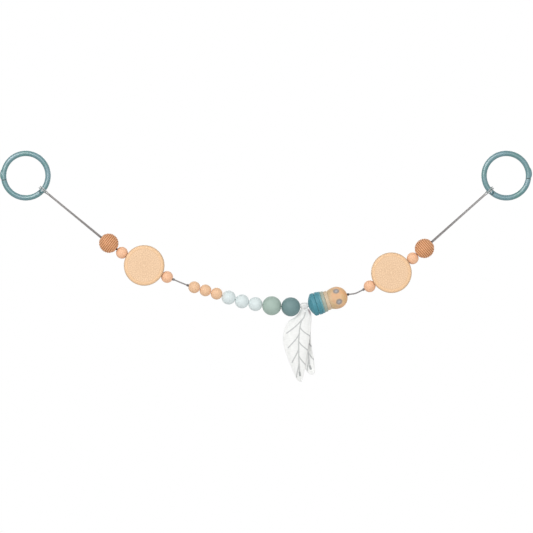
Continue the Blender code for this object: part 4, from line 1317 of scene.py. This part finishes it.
def wing_sheet(outline, length, belly, phase):
    """Return x between the outlines, out = c + b + p + l - s, z = -down L, and the share of pink
    tint and painted shade.

    b = belly sin(pi down) sin(pi v)^0.7, p = pleats |sin(5/2 pi v + phase)|^1.3 that fade as
    exp(-6.5 u), l = a long fold, s = the sewn channel 1.7 mm inside the edge.
    """
    u = np.linspace(0, 1, WING_ROWS)[:, None]
    v = np.linspace(0, 1, WING_COLUMNS)[None, :]
    low, high = outline[0, 0], outline[-1, 0]
    down = low + (high - low) * u**1.1
    left, right = edges_at(outline, down)
    round_off = np.sqrt(1 - clamp((down - (high - END_ROUND)) / (END_ROUND + 0.001)) ** 2)
    x = ((left + right) / 2 + (v - 0.5) * (right - left) * round_off) * length
    z = -down * length + 0 * v
    flat_grid = np.stack([x, z], axis=-1)
    rim = np.vstack([flat_grid[:, 0], flat_grid[-1], flat_grid[::-1, -1]])
    edge = nearest_line(flat_grid.reshape(-1, 2), rim[::3]).reshape(x.shape)
    swell = belly * np.sin(math.pi * down) * np.sin(math.pi * np.clip(v, 0.001, 0.999)) ** 0.7
    ripple = np.abs(np.sin(PLEATS * math.pi * v + phase)) ** 1.3
    pleats = PLEAT * ripple * np.exp(-PLEAT_FADE * u) * clamp(u * 14)
    fold = FOLD * (1 + np.sin(math.tau * (1.4 * v - 0.35 * u) + phase))
    fold = fold * clamp(3 * u) * (1 - 0.5 * u) * (0.3 + 0.7 * np.sin(math.pi * v))
    channel = CHANNEL * np.exp(-(((edge - CHANNEL_IN) / CHANNEL_HALF) ** 2)) * clamp(u * 12 - 1)
    # pink tint and painted shade of the pleats at the root and of the strip that folds over along
    # one side, and a painted shadow at the spot where the wing meets the cap
    folded_over = np.exp(-(((v - 0.86) / 0.13) ** 2)) * clamp(1.4 - 2.6 * u)
    from_shadow_spot = np.hypot((x - right * length + 0.8 * MM) / (1.2 * MM), (z + 5.0 * MM) / (3.6 * MM))
    root = ROOT_PINK_SHADE * np.exp(-14 * u) + FOLD_PINK_SHADE * folded_over
    pink_and_shade = np.maximum(root, TIE_SHADE * np.exp(-(from_shadow_spot**2)))
    return x, CLEAR + swell + pleats + fold - channel, z, pink_and_shade


# %% Hang a wing
def wing(name, node, hang, shares, length, belly, facing, phase):
    """Hang a sheet below the cord, print it and give it its thickness."""
    outline = smooth_curve(shares, 24)
    x, out, z, pink_and_shade = wing_sheet(outline, length, belly, phase)
    grid = hang + np.stack([x, facing * out, z], axis=-1)
    cloth_uv = (z[:, 0] - z[0, 0], np.linspace(0, np.ptp(x), WING_COLUMNS))
    mesh = skin(name, grid, close_columns=False, uv=cloth_uv)
    store(mesh, "ink", ink_on(np.stack([x.ravel(), z.ravel()], axis=1), outline, length))
    store(mesh, "pink_and_shade", pink_and_shade.ravel())
    piece = finish_piece(name, mesh, cotton, node, hang)
    wall = piece.modifiers.new("cloth", "SOLIDIFY")
    wall.thickness, wall.offset = CLOTH, 0


wing_joint = joints["wings_turn"]
wing_hang = np.array(wing_joint["pos_m"])
wing("front_wing_cloth", "front_wing", wing_hang, FRONT_SHARES, 78.0 * MM, 3.2 * MM, -1, 0.4)
wing("rear_wing_cloth", "rear_wing", wing_hang, REAR_SHARES, 70.8 * MM, 2.4 * MM, 1, 2.1)

# %% [markdown]
# ## Gathered root
#
# Where the wings are tied round the cord the cloth bunches into a small pleated sleeve that hangs
# a little lower than it stands up. Its radius is a sum again: a round, a drop towards the ground
# and a ripple for each pleat.

# %% Wrap the sleeve round the cord
SLEEVE_LENGTH = 7.5 * MM
SLEEVE_RADIUS = 2.3 * MM
SLEEVE_DROP = 1.9 * MM
SLEEVE_BORE = 1.2 * MM
SLEEVE_RIPPLE, SLEEVE_TUCK = 0.12 * MM, 0.5 * MM
SLEEVE_PINK_SHADE = 0.13
SLEEVE_ROWS, SLEEVE_COLUMNS = 40, 96
SLEEVE_PLEATS = 9

sleeve_axes = own_axes(wing_joint["axis"])
angle = full_turn(SLEEVE_COLUMNS)
along = np.linspace(-0.5, 0.5, SLEEVE_ROWS)[:, None]
# own Y of the sleeve points up, so a drop towards the ground is where the sine is -1
drop = clamp(-np.sin(angle)) ** 2
ripple = np.abs(np.sin(SLEEVE_PLEATS * math.pi * along + 0.6 * np.sin(angle))) ** 0.8
ripple = SLEEVE_RIPPLE * ripple
tuck = SLEEVE_TUCK * np.abs(2 * along) ** 4
radius = SLEEVE_RADIUS + SLEEVE_DROP * drop + ripple - tuck
shell = round_axis(wing_hang, sleeve_axes, radius, angle, along * SLEEVE_LENGTH)
ends = np.array([[0.47], [-0.47]]) * SLEEVE_LENGTH
lining = round_axis(wing_hang, sleeve_axes, SLEEVE_BORE, angle, ends)
sleeve_uv = (np.arange(SLEEVE_ROWS + 3) * 0.2 * MM, np.linspace(0, 14 * MM, SLEEVE_COLUMNS + 1))
sleeve_mesh = skin("wing_root", np.concatenate([shell, lining]), close_rows=True, uv=sleeve_uv)
store(sleeve_mesh, "ink", np.zeros(len(sleeve_mesh.vertices)))
# the sleeve has the same pink tint and painted shade all over
store(sleeve_mesh, "pink_and_shade", np.full(len(sleeve_mesh.vertices), SLEEVE_PINK_SHADE))
finish_piece("wing_root", sleeve_mesh, cotton, "wing_sleeve", wing_hang, sleeve_axes)
print("sleeve", round(SLEEVE_LENGTH / MM, 1), "mm long")

# %% [markdown]
# ## Light and room
#
# The toy was lit by soft lamps in a white room. The white room is the world, bright for the camera
# and for reflections, and darker as a light, so that lamps can still model the beads. A broad lamp
# in front darkens their rims, a small one from the upper left and a weak one from the right round
# them off, and one behind lights their backs. A long one at the upper left shows only in
# reflections: it draws the streaks on the rings. A pale floor far below catches their shadow.

# %% Light the room
world = bpy.data.worlds.new("white room")
bpy.context.scene.world = world
world.use_nodes = True
room = Nodes(world.node_tree)
seen = room.add("LightPath").outputs
straight = room.math("MAXIMUM", seen["Is Camera Ray"], seen["Is Glossy Ray"])
straight = room.math("MAXIMUM", straight, seen["Is Transmission Ray"])
glow = room.line(straight, 0.5, 0.5, clamp=False)
room.fill(room.tree.nodes["Background"], {0: (1, 1, 1), 1: glow})

MIDDLE = np.array((0.25, 0.0, -0.1))


def soft_lamp(name, place, size, power, depth=None, long_side=None):
    """An area lamp turned to the toy's middle: a square, or with a depth and a long side's way."""
    data = bpy.data.lights.new(name, "AREA")
    data.shape = "RECTANGLE"
    data.size, data.size_y, data.energy = size, depth or size, power
    z_axis = (place - MIDDLE) / np.linalg.norm(place - MIDDLE)
    x_axis = np.cross((0, 0, 1.0), z_axis) if long_side is None else np.array(long_side)
    x_axis = x_axis - (x_axis @ z_axis) * z_axis
    x_axis /= np.linalg.norm(x_axis)
    turn = np.array((x_axis, np.cross(z_axis, x_axis), z_axis)).T
    lamp = put_in_scene(name, data)
    lamp.matrix_world = Matrix.Translation(place) @ Matrix(turn).to_4x4()
    return lamp


# place, size in metres, watts
strip = soft_lamp("strip", (-0.57, -1.89, 0.72), 1.7, 55, 1.25, (0.707, 0, 0.707))
strip.visible_diffuse = False
soft_lamp("front", (0.4, -2.4, 0.35), 1.6, 20.5)
soft_lamp("key", (-0.9, -1.15, 1.1), 0.6, 11)
soft_lamp("fill", (1.6, -1.2, 0.3), 1.0, 3)
soft_lamp("rear", (0.1, 2.4, 0.5), 1.6, 16)
print("5 lamps")

# %% Lay the floor
FLOOR_HEIGHT = -0.45
FLOOR_ENDS, FLOOR_SIDES = (-1.6, 2.1), (1.4, -1.4)

floor_grid = np.array([[(x, y, FLOOR_HEIGHT) for x in FLOOR_ENDS] for y in FLOOR_SIDES])
floor_mesh = skin("floor", floor_grid, close_columns=False)
floor_paint = Finish("floor_paint", 0.9)
cloudy = floor_paint.noise(floor_paint.in_object(), 3.0)
floor_paint.paint(floor_paint.ramp(cloudy, (0.3, (0.84, 0.84, 0.84)), (0.7, (0.87, 0.87, 0.87))))
floor_mesh.materials.append(floor_paint.material)
put_in_scene("floor", floor_mesh)
print("floor", -FLOOR_HEIGHT, "m below the rings")

# %% [markdown]
# ## The picture
#
# The picture is kept plain: the standard view, no compositor.

# %% Keep the picture plain
bpy.context.scene.view_settings.view_transform = "Standard"
